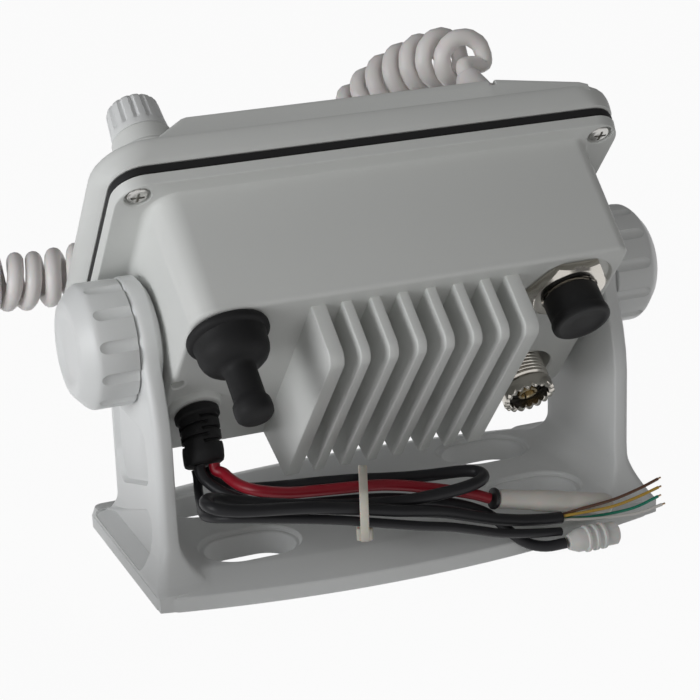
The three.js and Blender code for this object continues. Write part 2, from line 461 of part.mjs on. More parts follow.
// Accessory connector: barrel through the wall, hexagon nut, pull-off dust cap
function accessoryBarrel() {
  const start = rearInside - accessory.inside;
  const hole = accessory.barrel - 1.2;
  return turned([[0, start], [accessory.barrel + 2.2, start], [accessory.barrel + 2.2, rearInside - seatGap], [accessory.barrel, rearInside - seatGap], [accessory.barrel, accessory.barrelEnd], [hole, accessory.barrelEnd], [hole, shell.rear], [0, shell.rear]], accessory.x, accessory.z);
}

function accessoryNut() {
  const seat = shell.rear - accessory.recessDepth + seatGap;
  const top = seat + accessory.nutDepth;
  const hexagon = turned([[0, seat], [accessory.nutRadius, seat], [accessory.nutRadius, top - 1], [0, top - 1]], 0, 0, 6);
  const cone = turned([[0, top - 1 - overrun / 20], [accessory.nutRadius * 0.985, top - 1 - overrun / 20], [accessory.nutRadius * 0.86, top], [0, top]], 0, 0, 24).rotateY(0);
  const bore = disc(accessory.barrel + seatGap, seat - overrun, top + overrun, 0, 0, 24);
  const turnedNut = solid(hexagon).add(solid(hexagon.clone().translate(0, 1, 0)).intersect(solid(cone))).subtract(solid(bore));
  return geometryOf(turnedNut).rotateY(Math.PI / 2).translate(accessory.x, 0, accessory.z);
}

function dustCap() {
  const a = accessory;
  const inner = a.barrel + seatGap;
  return turned([[0, a.barrelEnd + seatGap], [inner, a.barrelEnd + seatGap], [inner, a.capStart], [a.capRadius, a.capStart], [a.capRadius, a.capEnd - 3], [a.capEndRadius, a.capEnd - 2.2], [a.capEndRadius, a.capEnd - 0.6], [a.capEndRadius - 0.6, a.capEnd], [0, a.capEnd]], a.x, a.z);
}

// Rubber boot over the accessory jack, and the jack itself
function rubberBoot() {
  const b = boot;
  const seat = shell.rear + seatGap;
  const neck = seat + b.flangeDepth;
  const profile = [
    [0, seat + b.jackLength], [b.jackRadius + seatGap, seat + b.jackLength], [b.jackRadius + seatGap, seat], [b.flangeRadius - 0.6, seat], [b.flangeRadius, seat + b.flangeDepth * 0.4],
    [b.flangeRadius - 0.7, neck], [b.domeRadius - 0.3, neck + 0.7], [b.domeRadius, neck + 2.4], [b.domeRadius - 1, b.domeEnd - 2.2], [b.domeRadius - 3.4, b.domeEnd - 0.5], [b.tailRadius, b.domeEnd],
    [b.tailRadius, b.tailEnd - 6], [b.bulb, b.tailEnd - 4.4], [b.bulb, b.tailEnd - 1.8], [b.bulb - 1.6, b.tailEnd - 0.3], [0, b.tailEnd],
  ];
  return turned(profile, b.x, b.z);
}

function bootJack() {
  const end = shell.rear + boot.jackLength;
  return turned([[0, rearInside - 5], [boot.jackRadius + 1.6, rearInside - 5], [boot.jackRadius + 1.6, rearInside - seatGap], [boot.jackRadius, rearInside - seatGap], [boot.jackRadius, end], [2, end], [2, end - 4], [0, end - 4]], boot.x, boot.z, smallSides);
}

// Power strain relief: a drooping ribbed sleeve on its boss, cut obliquely where the four cables leave it
const reliefStart = new THREE.Vector3(relief.x, shell.rear + relief.bossDepth + seatGap, relief.z);
const reliefEnd = new THREE.Vector3(relief.endX, relief.endY, relief.endZ);
function reliefRing(share, radius, lean, slopeAtEnd) {
  const centre = new THREE.Vector3(
    THREE.MathUtils.lerp(reliefStart.x, reliefEnd.x, share),
    THREE.MathUtils.lerp(reliefStart.y, reliefEnd.y, share),
    reliefStart.z + (reliefEnd.z - reliefStart.z) * share * share,
  );
  const slope = slopeAtEnd ?? (2 * share * (reliefEnd.z - reliefStart.z)) / (reliefEnd.y - reliefStart.y) + lean;
  return Array.from({ length: roundSides }, (_, i) => {
    const angle = (2 * Math.PI * i) / roundSides;
    const up = radius * Math.sin(angle);
    return new THREE.Vector3(centre.x + radius * Math.cos(angle), centre.y - up * slope, centre.z + up);
  });
}
function powerRelief() {
  const rings = [reliefRing(0, relief.rootRadius, 0), reliefRing(0.12, relief.rootRadius, 0)];
  const grooves = 4;
  for (let i = 0; i < grooves; i++) {
    const share = 0.2 + i * 0.11;
    rings.push(reliefRing(share, relief.waist + 0.35, 0), reliefRing(share + 0.05, relief.waist - 0.25, 0));
  }
  rings.push(reliefRing(0.7, relief.headRadius, 0), reliefRing(0.9, relief.headRadius, 0, relief.faceSlope * 1.3), reliefRing(1, relief.endRadius, 0, relief.faceSlope));
  return loft(rings);
}

function microphoneRelief() {
  const c = cordRelief;
  const seat = bezel.panelFront + bezel.notchDepth - seatGap;
  return turned([[0, seat], [c.baseRadius, seat], [c.baseRadius, bezel.panelFront - 0.8], [c.neckRadius, bezel.panelFront - 1.6], [c.tipRadius, c.end], [0, c.end]], c.x, c.z, 24);
}

// Inside: display glass and module, two boards, power module, speaker
function insidePieces() {
  const glassRear = bezel.panelFront + display.glass - seatGap * 2;
  const edge = slack * 2;
  place(radio, "display_window", panelXZ(roundedOutline(display.x, display.z, display.width - edge, display.height - edge, display.ledge), bezel.panelFront, glassRear), glass);
  const moduleFront = bezel.panelFront + bezel.wall + seatGap;
  const m = [display.width + display.ledge, display.height - display.ledge];
  const module = block([display.x - m[0] / 2, display.x + m[0] / 2], [moduleFront, moduleFront + display.moduleDepth], [display.z - m[1] / 2, display.z + m[1] / 2]);
  place(radio, "display_module", module, greyPlastic);
  const board = (y, depth, low, high) => block([boards.sideRoom - bossInner, bossInner - boards.sideRoom], [y, y + depth], [low, high]);
  const frontBoard = solid(board(frontBoardFront, boards.frontDepth, boards.low, boards.high));
  place(radio, "front_circuit_board", frontBoard, boardGreen);
  const s = speaker;
  const speakerFront = bezel.panelFront + bezel.wall + s.setBack;
  const cone = turned([[0, speakerFront + 2.4], [s.radius * 0.5, speakerFront + 1.6], [s.radius * 0.86, speakerFront], [s.radius, speakerFront], [s.radius, speakerFront + 2], [s.radius * 0.55, speakerFront + s.depth * 0.55], [s.radius * 0.55, speakerFront + s.depth * 0.8], [0, speakerFront + s.depth * 0.8]], s.x, s.z, 24);
  place(radio, "speaker", cone, blackPlastic);
  place(radio, "main_circuit_board", board(boards.mainY, boards.mainDepth, boards.low, boards.high), boardGreen);
  const p = powerModule;
  const moduleBlock = block([p.x - p.width / 2, p.x + p.width / 2], [rearInside - seatGap - p.depth, rearInside - seatGap], [p.z - p.height / 2, p.z + p.height / 2]);
  place(radio, "power_module", moduleBlock, blackPlastic);
}

// Yoke bracket: a bowed base with four slots and two arms with round ears
const plateauDepth = (x, inset) => base.sideDepth + base.bow * (1 - (x / baseHalfWidth) ** 2) - inset;
function baseRing(z, inset, endInset) {
  const steps = 8;
  const half = baseHalfWidth - endInset;
  const side = (sign) => Array.from({ length: steps + 1 }, (_, i) => {
    const x = sign * (half - (2 * half * i) / steps);
    return new THREE.Vector3(x, sign * plateauDepth(x, inset), z);
  });
  return [...side(1), ...side(-1)];
}
function yokeBracket() {
  const footing = loft([baseRing(0, 0, 0), baseRing(base.rim, 0, 0), baseRing(base.plateau, base.band, arm.width)]);
  const earSteps = 12;
  const ear = Array.from({ length: earSteps + 1 }, (_, i) => {
    const angle = (Math.PI * i) / earSteps;
    return [arm.ear * Math.cos(angle), pivotHeight + arm.ear * Math.sin(angle)];
  });
  const flareSteps = 4;
  const flare = Array.from({ length: flareSteps + 1 }, (_, i) => {
    const angle = (Math.PI / 2) * (i / flareSteps);
    const reach = base.sideDepth - arm.frontEdge;
    return [-base.sideDepth + reach * Math.cos(angle), arm.flareLow + (arm.flareHigh - arm.flareLow) * (1 - Math.sin(angle))];
  });
  const side = [[arm.rearFoot, 0], ...arm.rearEdge, ...ear, ...flare, [-base.sideDepth, 0]];
  // a wedge outside and a fillet inside where each arm meets the base; the fillet comes down with the sloping rim
  const filletSteps = 4;
  const rootRing = (y, bottom) => {
    const fillet = Array.from({ length: filletSteps + 1 }, (_, i) => {
      const angle = (Math.PI / 2) * (1 - i / filletSteps);
      return [armInner - arm.innerFillet + arm.innerFillet * Math.cos(angle), bottom + arm.innerFillet - arm.innerFillet * Math.sin(angle)];
    });
    const outside = [[armOuter, bottom + arm.innerFillet], [armOuter, arm.outerFlareHigh], [baseHalfWidth, arm.outerFlareLow], [baseHalfWidth, 0], [armInner - arm.innerFillet, 0]];
    return [...fillet, ...outside].map(([x, z]) => new THREE.Vector3(x, y, z));
  };
  const reach = plateauDepth(armInner, 0);
  const flat = plateauDepth(armInner, base.band);
  const [outside, within] = [base.rim - seatGap, base.plateau - seatGap / 3];
  const root = loft([rootRing(-reach - overrun, outside), rootRing(-reach, outside), rootRing(-flat, within), rootRing(flat, within), rootRing(reach, outside), rootRing(reach + overrun, outside)]);
  const footprint = loft([baseRing(-overrun, seatGap / 3, -overrun), baseRing(pivotHeight + arm.ear + overrun, seatGap / 3, -overrun)]);
  return { footing, side, root, footprint };
}

function bracket() {
  const { footing, side, root, footprint } = yokeBracket();
  // outlines in y and z pulled along x
  const alongX = (points, x0, x1) => extruded(points, x1 - x0).rotateX(Math.PI / 2).rotateZ(Math.PI / 2).translate(x0, 0, 0);
  const sideCutter = solid(alongX(side, earInner - arm.innerFillet * 2, baseHalfWidth + overrun));
  const upright = solid(alongX(side, armInner, armOuter)).intersect(solid(footprint));
  const foot = solid(root).intersect(sideCutter).intersect(solid(footprint));
  const earBoss = solid(turnedX([[0, earInner], [arm.earFace, earInner], [arm.ear, armInner + seatGap], [arm.ear, armOuter], [0, armOuter]], 28).translate(0, 0, pivotHeight));
  const hole = solid(turnedX([[0, earInner - overrun], [arm.studHole, earInner - overrun], [arm.studHole, armOuter + overrun], [0, armOuter + overrun]], smallSides).translate(0, 0, pivotHeight));
  const recess = solid(turnedX([[0, earInner - overrun], [arm.washerRecess, earInner - overrun], [arm.washerRecess, earInner + washer.thickness - seatGap / 3], [0, earInner + washer.thickness - seatGap / 3]]).translate(0, 0, pivotHeight));
  const panels = join(
    solid(alongX(arm.upperPanel, armOuter - arm.panelDepth, armOuter + overrun)),
    solid(alongX(arm.footPanel, armOuter - arm.panelDepth / 2, baseHalfWidth + overrun)),
  );
  const oneArm = cut(join(upright, foot, earBoss), hole, recess, panels);
  const otherArm = solid(geometryOf(oneArm).scale(-1, 1, 1));
  const slotCuts = [-1, 1].flatMap((sx) => [-1, 1].flatMap((sy) => {
    const length = (base.slotHalf + base.slotRadius) * 2;
    const outline = roundedOutline(sx * base.slotX, sy * base.slotY, length, base.slotRadius * 2, base.slotRadius * 0.999);
    const lipOutline = roundedOutline(sx * base.slotX, sy * base.slotY, length + base.lip * 2, (base.slotRadius + base.lip) * 2, (base.slotRadius + base.lip) * 0.999);
    return [
      solid(extruded(outline, base.plateau + overrun * 2).translate(0, 0, -overrun)),
      solid(extruded(lipOutline, base.lipDepth + overrun).translate(0, 0, base.plateau - base.lipDepth)),
    ];
  }));
  return cut(join(solid(footing), oneArm, otherArm), ...slotCuts);
}

// Clamp knobs: grip slots round the side, a wide chamfer and a shallow dish in the end, with a threaded stud
function clampKnob(sign) {
  const c = clamp;
  const end = clampInner + c.length;
  const body = turnedX([[0, clampInner], [c.radius - 0.8, clampInner], [c.radius, clampInner + 0.8], [c.radius, end - c.chamfer], [c.faceRadius, end], [c.dishRadius, end], [c.dishRadius * 0.6, end - c.dish], [0, end - c.dish]], 24);
  const grips = Array.from({ length: c.grips }, (_, i) => {
    const angle = (2 * Math.PI * (i + 0.5)) / c.grips;
    const groove = new THREE.CylinderGeometry(c.gripWidth / 2, c.gripWidth / 2, c.gripLength, 6).rotateZ(Math.PI / 2);
    const distance = c.radius + c.gripWidth / 2 - c.gripDepth;
    return solid(groove.translate(clampInner + c.gripLength / 2 - overrun / 2, distance * Math.cos(angle), distance * Math.sin(angle)));
  });
  const socket = turnedX([[0, clampInner - overrun], [c.studRadius + seatGap, clampInner - overrun], [c.studRadius + seatGap, clampInner + c.socket + seatGap], [0, clampInner + c.socket + seatGap]], smallSides);
  const knob = cut(solid(body), ...grips, solid(socket));
  return geometryOf(knob).rotateZ(sign > 0 ? 0 : Math.PI).translate(0, 0, pivotHeight);
}
function clampStud(sign) {
  const c = clamp;
  const reach = bossFace - c.studReach;
  const stud = turnedX([[0, reach], [c.studRadius - 0.6, reach], [c.studRadius, reach + 0.8], [c.studRadius, clampInner + c.socket], [0, clampInner + c.socket]], smallSides);
  return stud.rotateZ(sign > 0 ? 0 : Math.PI).translate(0, 0, pivotHeight);
}
function frictionWasher(sign) {
  const x0 = bossFace + seatGap;
  const x1 = x0 + washer.thickness;
  const ring = turnedX([[arm.studHole, x0], [washer.radius, x0], [washer.radius, x1], [arm.studHole, x1], [arm.studHole, x0]], 24);
  return ring.rotateZ(sign > 0 ? 0 : Math.PI).translate(0, 0, pivotHeight);
}

// Fist microphone, lying on its back outside the bracket
function micRing(z, inset) {
  const { near, length } = mic;
  const half = mic.width / 2;
  const neck = mic.neckWidth / 2;
  const outline = [
    [neck * 0.6, near], [neck, near + length * 0.05], [neck + 3, near + length * 0.3], [half - 2, near + length * 0.55], [half, near + length * 0.72],
    [half - 2, near + length * 0.9], [half - 9, near + length * 0.98], [half - 18, near + length],
  ];
  const centre = new THREE.Vector2(0, near + length / 2);
  const points = [...outline, ...outline.map(([x, y]) => [-x, y]).reverse()];
  return points.map(([x, y]) => {
    const offset = new THREE.Vector2(x, y).sub(centre);
    const scale = 1 - inset / offset.length();
    return new THREE.Vector3(mic.x + offset.x * scale, centre.y + offset.y * scale, z);
  });
}
function microphone(group) {
  const bottom = mic.floorGap + mic.studHeight;
  const split = bottom + mic.split;
  const top = mic.height;
  const rearOuter = loft([micRing(bottom, 4), micRing(bottom + 3, 0.8), micRing(split, 0)]);
  const rearHollow = loft([micRing(bottom + mic.wall, 5.5), micRing(split + overrun, mic.wall)]);
  const reliefBore = disc(mic.reliefTip - 1, mic.near - overrun * 2, mic.near + mic.wall * 4, mic.x, mic.axisHeight, smallSides);
  place(group, "mic_rear_shell", cut(solid(rearOuter), solid(rearHollow), solid(reliefBore)), whiteCase);
  const frontOuter = loft([micRing(split + seatGap, 0), micRing(top - 4, 1), micRing(top, 5)]);
  const frontHollow = loft([micRing(split - overrun, mic.wall), micRing(top - mic.wall, 5.5)]);
  const slotX = mic.x - mic.width / 2;
  const pttY = mic.near + mic.length * 0.62;
  const pttZ = split + seatGap + (top - split) / 2 - 1;
  const opening = block([slotX - overrun, slotX + mic.pttDepth], [pttY - mic.pttLength / 2 - slack, pttY + mic.pttLength / 2 + slack], [pttZ - mic.pttWidth / 2 - slack, pttZ + mic.pttWidth / 2 + slack]);
  const keySpots = [-1, 1].map((s) => [mic.x + s * 8, mic.near + mic.length * 0.86]);
  const keyHoles = keySpots.map(([x, y]) => solid(turnedZ([[0, top - mic.wall * 3], [mic.keyRadius + slack, top - mic.wall * 3], [mic.keyRadius + slack, top + overrun], [0, top + overrun]], x, y, smallSides)));
  const grille = [-2, -1, 0, 1, 2].map((i) => {
    const y = mic.near + mic.length * 0.45 + i * 5;
    return solid(block([mic.x - 11, mic.x + 11], [y - 0.9, y + 0.9], [top - mic.wall - overrun * 2, top + overrun]));
  });
  place(group, "mic_front_shell", cut(solid(frontOuter), solid(frontHollow), solid(opening), ...keyHoles, ...grille), whiteCase);
  const button = loft([0, 1].map((i) => {
    const x = i ? slotX + 7.2 : slotX - mic.pttProud + 2;
    const shrink = i ? 0 : 0.8;
    return roundedOutline(pttY, pttZ, mic.pttLength - shrink, mic.pttWidth - shrink, 2).map(([y, z]) => new THREE.Vector3(x, y, z));
  }));
  place(group, "mic_ptt_button", button, greyPlastic);
  keySpots.forEach(([x, y], i) => {
    const cap = turnedZ([[0, top - mic.wall - 1.2], [mic.keyRadius, top - mic.wall - 1.2], [mic.keyRadius, top + 0.5], [mic.keyRadius - slack, top + 0.9], [0, top + 0.9]], x, y, smallSides);
    place(group, ["mic_up_key", "mic_down_key"][i], cap, greyPlastic);
  });
  const stud = turnedZ([[0, mic.floorGap], [mic.studRadius, mic.floorGap], [mic.studRadius, mic.floorGap + 1.4], [mic.studRadius * 0.5, mic.floorGap + 1.4], [mic.studRadius * 0.5, bottom - seatGap], [0, bottom - seatGap]], mic.x, mic.near + mic.length * 0.6, smallSides);
  place(group, "mic_hanger_stud", stud, steel);
  const r = mic;
  const relief = turned([[0, r.near - r.reliefLength], [r.reliefTip, r.near - r.reliefLength], [r.reliefRoot, r.near - 2.4], [r.reliefRoot, r.near - seatGap], [r.reliefTip - 1 - seatGap, r.near - seatGap], [r.reliefTip - 1 - seatGap, r.near + r.wall * 2], [0, r.near + r.wall * 2]], r.x, r.axisHeight, smallSides);
  place(group, "mic_cord_relief", relief, whiteCord);
}

// The curly cord's axis, from the first curl by the radio to the microphone's relief; the first points are in the case frame
const toWorld = ([x, y, z]) => [x, y * Math.cos(tilt) + z * Math.sin(tilt), pivotHeight - y * Math.sin(tilt) + z * Math.cos(tilt)];
const coilOnPanel = [
  [-41.3, -57.3, 33.9], [-38.7, -60.7, 31.6], [-34.7, -62.9, 26.6], [-30.5, -64.5, 20.9], [-26.5, -65.2, 14.7], [-23.3, -65.2, 9.4], [-19.9, -64.4, 4], [-15.6, -62.6, -2.2],
  [-9, -59.6, -9.4], [0, -56, -16.6], [12, -52.4, -23.6], [26, -50.4, -29.2], [40, -49.6, -33.8], [53, -49.6, -37.6], [66, -50.2, -41], [79, -51, -43.6],
];
const coilBeyond = [
  [93, -68, 67.6], [105, -69, 63.6], [118, -69, 55], [130.5, -66.5, 42.5], [142, -62, 29.5], [152, -55, 18.6], [160.5, -46.5, 12.4], [166.4, -36.5, 10.6], [169, -26.4, 11],
];
const pitchAt = (along) => {
  const next = cord.pitches.findIndex(([place]) => place > along);
  if (next < 1) return cord.pitches[next < 0 ? cord.pitches.length - 1 : 0][1];
  const [[place, pitch], [placeAfter, pitchAfter]] = cord.pitches.slice(next - 1, next + 1);
  return pitch + ((pitchAfter - pitch) * (along - place)) / (placeAfter - place);
};
function curlyCord() {
  const axis = new THREE.CatmullRomCurve3([...coilOnPanel.map(toWorld), ...coilBeyond].map((p) => new THREE.Vector3(...p)), false, "centripetal");
  axis.arcLengthDivisions = 600;
  const length = axis.getLength();
  const fine = 1200;
  const stations = Array.from({ length: fine + 1 }, (_, i) => axis.getPointAt(i / fine));
  const tangents = stations.map((_, i) => axis.getTangentAt(i / fine));
  // carry the frame along the axis, starting with its normal up the case
  let normal = new THREE.Vector3(...toWorld([0, 0, 1])).sub(new THREE.Vector3(...toWorld([0, 0, 0])));
  let angle = 0;
  const helix = [];
  const stepAngle = (2 * Math.PI) / cord.stepsPerCurl;
  let next = 0;
  const closing = cord.curlRadius * 2.4;
  for (let i = 0; i <= fine; i++) {
    const tangent = tangents[i];
    normal.addScaledVector(tangent, -normal.dot(tangent)).normalize();
    const across = new THREE.Vector3().crossVectors(tangent, normal);
    const bend = i > 0 && i < fine ? tangents[i + 1].angleTo(tangents[i - 1]) / ((2 * length) / fine) : 0;
    const left = length - (length * i) / fine;
    const radius = cord.curlRadius * THREE.MathUtils.smoothstep(left, cord.wire * 0.6, closing);
    if (angle >= next && left > cord.wire) {
      helix.push(stations[i].clone().addScaledVector(normal, radius * Math.cos(angle)).addScaledVector(across, radius * Math.sin(angle)));
      next += stepAngle;
    }
    const pitch = (pitchAt(length - left) / (1 - Math.min(0.45, cord.curlRadius * bend))) * (left < closing ? cord.wider : 1);
    angle += ((length / fine) / pitch) * 2 * Math.PI;
  }
  const curls = angle / (2 * Math.PI);
  const out = new THREE.Vector3(...toWorld([0, -1, 0])).sub(new THREE.Vector3(...toWorld([0, 0, 0])));
  const tip = new THREE.Vector3(...toWorld([cordRelief.x, cordRelief.end - seatGap, cordRelief.z]));
  const lead = [0, cord.lead, cord.lead * 2].map((d, i) => tip.clone().addScaledVector(out, d).add(new THREE.Vector3(i > 1 ? -cord.lean : 0, 0, 0)));
  const micTip = new THREE.Vector3(mic.x, mic.near - mic.reliefLength - seatGap, mic.axisHeight);
  const tail = [cord.wire * 1.1, cord.wire * 0.5, 0].map((d) => micTip.clone().add(new THREE.Vector3(0, -d, 0)));
  const line = [...lead, ...helix.slice(2), ...tail];
  return { geometry: sweep(line, cord.wire / 2, cord.sides), line, curls };
}

// A tube of few sides through a list of points, with its frame carried along
function sweep(line, radius, sides) {
  let normal = new THREE.Vector3(0, 0, 1);
  const rings = line.map((p, i) => {
    const before = line[Math.max(0, i - 1)];
    const after = line[Math.min(line.length - 1, i + 1)];
    const tangent = after.clone().sub(before).normalize();
    normal.addScaledVector(tangent, -normal.dot(tangent)).normalize();
    const across = new THREE.Vector3().crossVectors(tangent, normal);
    return Array.from({ length: sides }, (_, k) => {
      const a = (2 * Math.PI * k) / sides;
      return p.clone().addScaledVector(normal, radius * Math.cos(a)).addScaledVector(across, radius * Math.sin(a));
    });
  });
  return loft(rings);
}

// The least gap of the cord to itself, between points that lie more than a few thicknesses apart along it
function leastGap(line) {
  const curve = new THREE.CatmullRomCurve3(line, false, "centripetal");
  curve.arcLengthDivisions = line.length * 6;
  const count = line.length * 4;
  const fine = curve.getSpacedPoints(count);
  const skip = Math.ceil((cord.wire * 2.6 * count) / curve.getLength());
  let least = { gap: Infinity };
  for (let i = 0; i < fine.length; i++) {
    for (let j = i + skip; j < fine.length; j++) {
      const gap = fine[i].distanceTo(fine[j]) - cord.wire;
      if (gap < least.gap) least = { gap, at: fine[i].toArray().map((v) => v.toFixed(1)) };
    }
  }
  return least;
}

// Rear cables, in world places; each starts square to the relief's oblique end, at an offset across and up that end
const faceCentre = new THREE.Vector3(...toWorld([relief.endX, relief.endY, relief.endZ]));
const faceNormal = new THREE.Vector3(...toWorld([0, 1, relief.faceSlope])).sub(new THREE.Vector3(...toWorld([0, 0, 0]))).normalize();
const faceUp = new THREE.Vector3().crossVectors(new THREE.Vector3(1, 0, 0), faceNormal);
const leaving = (across, up, route) => {
  const start = faceCentre.clone().addScaledVector(faceUp, up).add(new THREE.Vector3(across, 0, 0));
  return [start.clone().addScaledVector(faceNormal, wires.start), start.clone().addScaledVector(faceNormal, wires.start + wires.lead)].map((p) => p.toArray()).concat(route);
};
const redRoute = leaving(-2.1, 2.2, [
  [53.1, 23, 32.9], [52.2, 26, 32.1], [50.8, 30, 31.5], [48.3, 34, 31.2], [44.2, 36.5, 30.7], [38.8, 37.5, 29.9], [32.6, 38, 29.4],
  [26.2, 38, 28.8], [19.7, 38, 28.2], [12.4, 37.5, 27.1], [5.6, 37.5, 25.6], [-1.8, 37.8, 23.6], [-8.5, 38, 21.6], [-14.7, 38.6, 19.6], [-19.4, 39.1, 17.6],
]);
const blackRoute = leaving(2.2, 2, [
  [57.6, 22, 31], [55.7, 25, 29.4], [53.2, 29, 28.4], [49.9, 33, 27.8], [44.9, 36, 27.1], [38.9, 37.6, 26.3], [32.8, 38, 25.7],
  [26.3, 38, 25], [19.9, 38, 24.3], [12.5, 37.6, 23.1], [5.7, 37.6, 21.7], [-1.7, 38, 19.8], [-8.5, 38.4, 17.9], [-13.8, 38.9, 15.8], [-18.2, 39.2, 13.4],
  [-21.8, 40, 10.4], [-24.9, 42, 7], [-28.6, 44.8, 4.2], [-33, 47.2, 3.4], [-38.6, 48.6, 3.9],
]);
const thickRoute = leaving(-2, -2, [
  [54.2, 17.8, 29.4], [52.2, 18.8, 27.6], [48.8, 20.8, 26.8], [44.6, 23.4, 26.9], [40, 25.8, 27.3], [35.3, 27.7, 27.6], [29.1, 29.2, 27.7], [23, 30, 27.4], [16.6, 30.5, 26.9],
  [9.4, 30.5, 25.8], [2.5, 30.5, 24.9], [-4.6, 30.5, 24.2], [-10.7, 30.7, 23.9], [-15.6, 31.7, 23.9], [-18.6, 34.4, 24], [-18, 38.4, 24.1], [-14.5, 41.8, 24.4], [-9.3, 43.6, 24.4], [-3.8, 44.4, 24.4],
  [1.8, 44.8, 24.4], [7.2, 45, 24.5], [13.3, 45, 24.9], [20.2, 45, 25.7], [27.6, 44.8, 26.8], [34.9, 44.4, 28.1], [42.1, 43.8, 29.4], [49.1, 42.6, 30.7], [54.9, 41, 31.8], [60.2, 40.4, 33.2], [64.2, 42.4, 34.6],
  [66, 46.4, 35.2], [64.4, 50, 34.9], [60, 51.2, 34], [53.9, 51.4, 33], [46.1, 51, 31.8], [38, 50.4, 30.3], [29.9, 49.3, 28.1], [22, 48.9, 26.2], [13.7, 48.8, 24.1], [5.4, 47.9, 22], [-3.1, 46, 19.2],
  [-11.5, 44.6, 15.9], [-19.8, 43.9, 13], [-27, 43.7, 11.2], [-33.8, 43.7, 10.1], [-39.6, 43.7, 9.5],
]);
const thinRoute = leaving(2.1, -2.2, [
  [59.4, 19.4, 28.2], [60.8, 25, 26.4], [62.6, 32, 26.6], [63.6, 38.5, 28], [62.2, 43.8, 29.4], [58.6, 47, 29.9], [53, 48.2, 29.3], [46, 48.8, 28.1], [38, 49.4, 26.6], [29.9, 49.9, 24.9],
  [22, 50.2, 22.9], [14, 50.4, 20.8], [6, 50.2, 18.6], [-2.5, 49.2, 16.2], [-10.4, 48.2, 13.4], [-18.2, 47.5, 10.6], [-25.5, 47.3, 8.9], [-32.4, 47, 7.6], [-38.1, 46.2, 6.5],
]);
const vector = (p) => new THREE.Vector3(...p);
const endOf = (route, back = 0) => vector(route[route.length - 1 - back]);
const directionOf = (route) => endOf(route).sub(endOf(route, 1)).normalize();

// A turned piece that starts at a point and runs along a direction
function turnedAlong(profile, start, direction, sides) {
  const g = turned(profile, 0, 0, sides);
  g.applyQuaternion(new THREE.Quaternion().setFromUnitVectors(new THREE.Vector3(0, 1, 0), direction));
  return g.translate(start.x, start.y, start.z);
}

function cables(group) {
  place(group, "red_power_wire", tube(redRoute, wires.power, 6, wires.power * 2), redWire);
  place(group, "black_power_wire", tube(blackRoute, wires.power, 6, wires.power * 1.9), blackPlastic);
  place(group, "data_cable_thick", tube(thickRoute, wires.thick, 6, wires.thick * 2.2), blackPlastic);
  place(group, "data_cable_thin", tube(thinRoute, wires.thin, 6, wires.thin * 2.2), blackPlastic);
  // the sleeve starts with a dark ring where the red wire ends
  const s = sleeve;
  const along = new THREE.Vector3(-38.4, 0.4, -9).normalize();
  const first = endOf(redRoute).addScaledVector(along, seatGap * 2.6);
  const long = 38.5;
  const sleeveProfile = [[0, 0], [s.ringRadius, 0], [s.ringRadius, s.ringLength], [s.radius, s.ringLength + seatGap], [s.radius, long * 0.34], [s.swell, long * 0.37], [s.swell, long * 0.96], [s.radius - seatGap, long], [0, long]];
  place(group, "power_sleeve", turnedAlong(sleeveProfile, first, along, smallSides), clearSleeve);
  // the cable tie goes round the strands that leave the radio and the two that come back
  const t = tie;
  const loop = (grow) => roundedOutline(t.y, t.z, t.across + grow * 2, t.high + grow * 2, t.corner + grow, 4).map(([y, z]) => new THREE.Vector2(y, z));
  const band = new THREE.Shape(loop(t.thickness));
  band.holes.push(new THREE.Path(loop(0)));
  const ring = new THREE.ExtrudeGeometry(band, { depth: t.width, bevelEnabled: false }).rotateX(Math.PI / 2).rotateZ(Math.PI / 2).translate(t.x - t.width / 2, 0, 0);
  const headTop = t.z - t.high / 2 - seatGap;
  const head = block([t.x - t.head / 2, t.x + t.head / 2], [t.y - t.head / 2, t.y + t.head / 2], [headTop - t.head * 0.8, headTop]);
  const about = (shape, by) => shape.translate([-t.x * by, -t.y * by, 0]);
  place(group, "cable_tie", about(about(solid(ring).add(solid(head)), 1).rotate([0, 0, t.turn]), -1), clearSleeve);
  // four conductors leave the thick cable's end as a square of four and fan out upwards
  const end = endOf(thickRoute);
  const fan = [
    ["conductor_brown", 0x5a3a2c, -1, 1, [[7, -0.2, 1.4], [17, -0.6, 2], [26, -1.4, 3.4], [32.5, -2, 5]]],
    ["conductor_yellow", 0xc79a2a, 1, 1, [[7, 0.6, 0.5], [17, 0.4, 0.5], [25, -0.2, 1.5], [32, -0.8, 2.9]]],
    ["conductor_green", 0x12806a, -1, -1, [[7, -0.2, -1.4], [15, -0.2, -1.9], [23.5, 0.6, -1.2], [31, 0.8, 0.9]]],
    ["conductor_white", 0xd8d4cf, 1, -1, [[7, 0.9, -1.5], [16, 1.2, -2.4], [24.5, 1.8, -2.5], [31.5, 2.2, -1.2]]],
  ];
  for (const [name, color, side, up, path] of fan) {
    const [dy, dz] = [side * wires.spread, up * wires.spread];
    const points = [[end.x - seatGap * 2, end.y + dy, end.z + dz], [end.x - 2, end.y + dy * 1.1, end.z + dz * 1.1], ...path.map(([x, y, z]) => [end.x - x, end.y + y, end.z + z])];
    place(group, name, tube(points, wires.conductor, 5, 4), finish(color, 0.5));
  }
  // the ribbed plug lies on the floor at the end of the black wire
  const p = plug;
  const start = endOf(blackRoute).add(new THREE.Vector3(-seatGap, 0, 0));
  const profile = [[0, seatGap], [p.nose, seatGap], [p.radius, p.length * 0.2]];
  for (let i = 0; i < p.ribs; i++) {
    const at = p.length * (0.34 + i * 0.16);
    profile.push([p.radius, at], [p.radius + p.ribDepth, at + p.ribWidth * 0.3], [p.radius + p.ribDepth, at + p.ribWidth * 0.8], [p.radius, at + p.ribWidth]);
  }
  profile.push([p.radius, p.length], [0, p.length]);
  place(group, "ribbed_plug", turnedAlong(profile, start, new THREE.Vector3(-1, 0, 0), smallSides), clearSleeve);
}

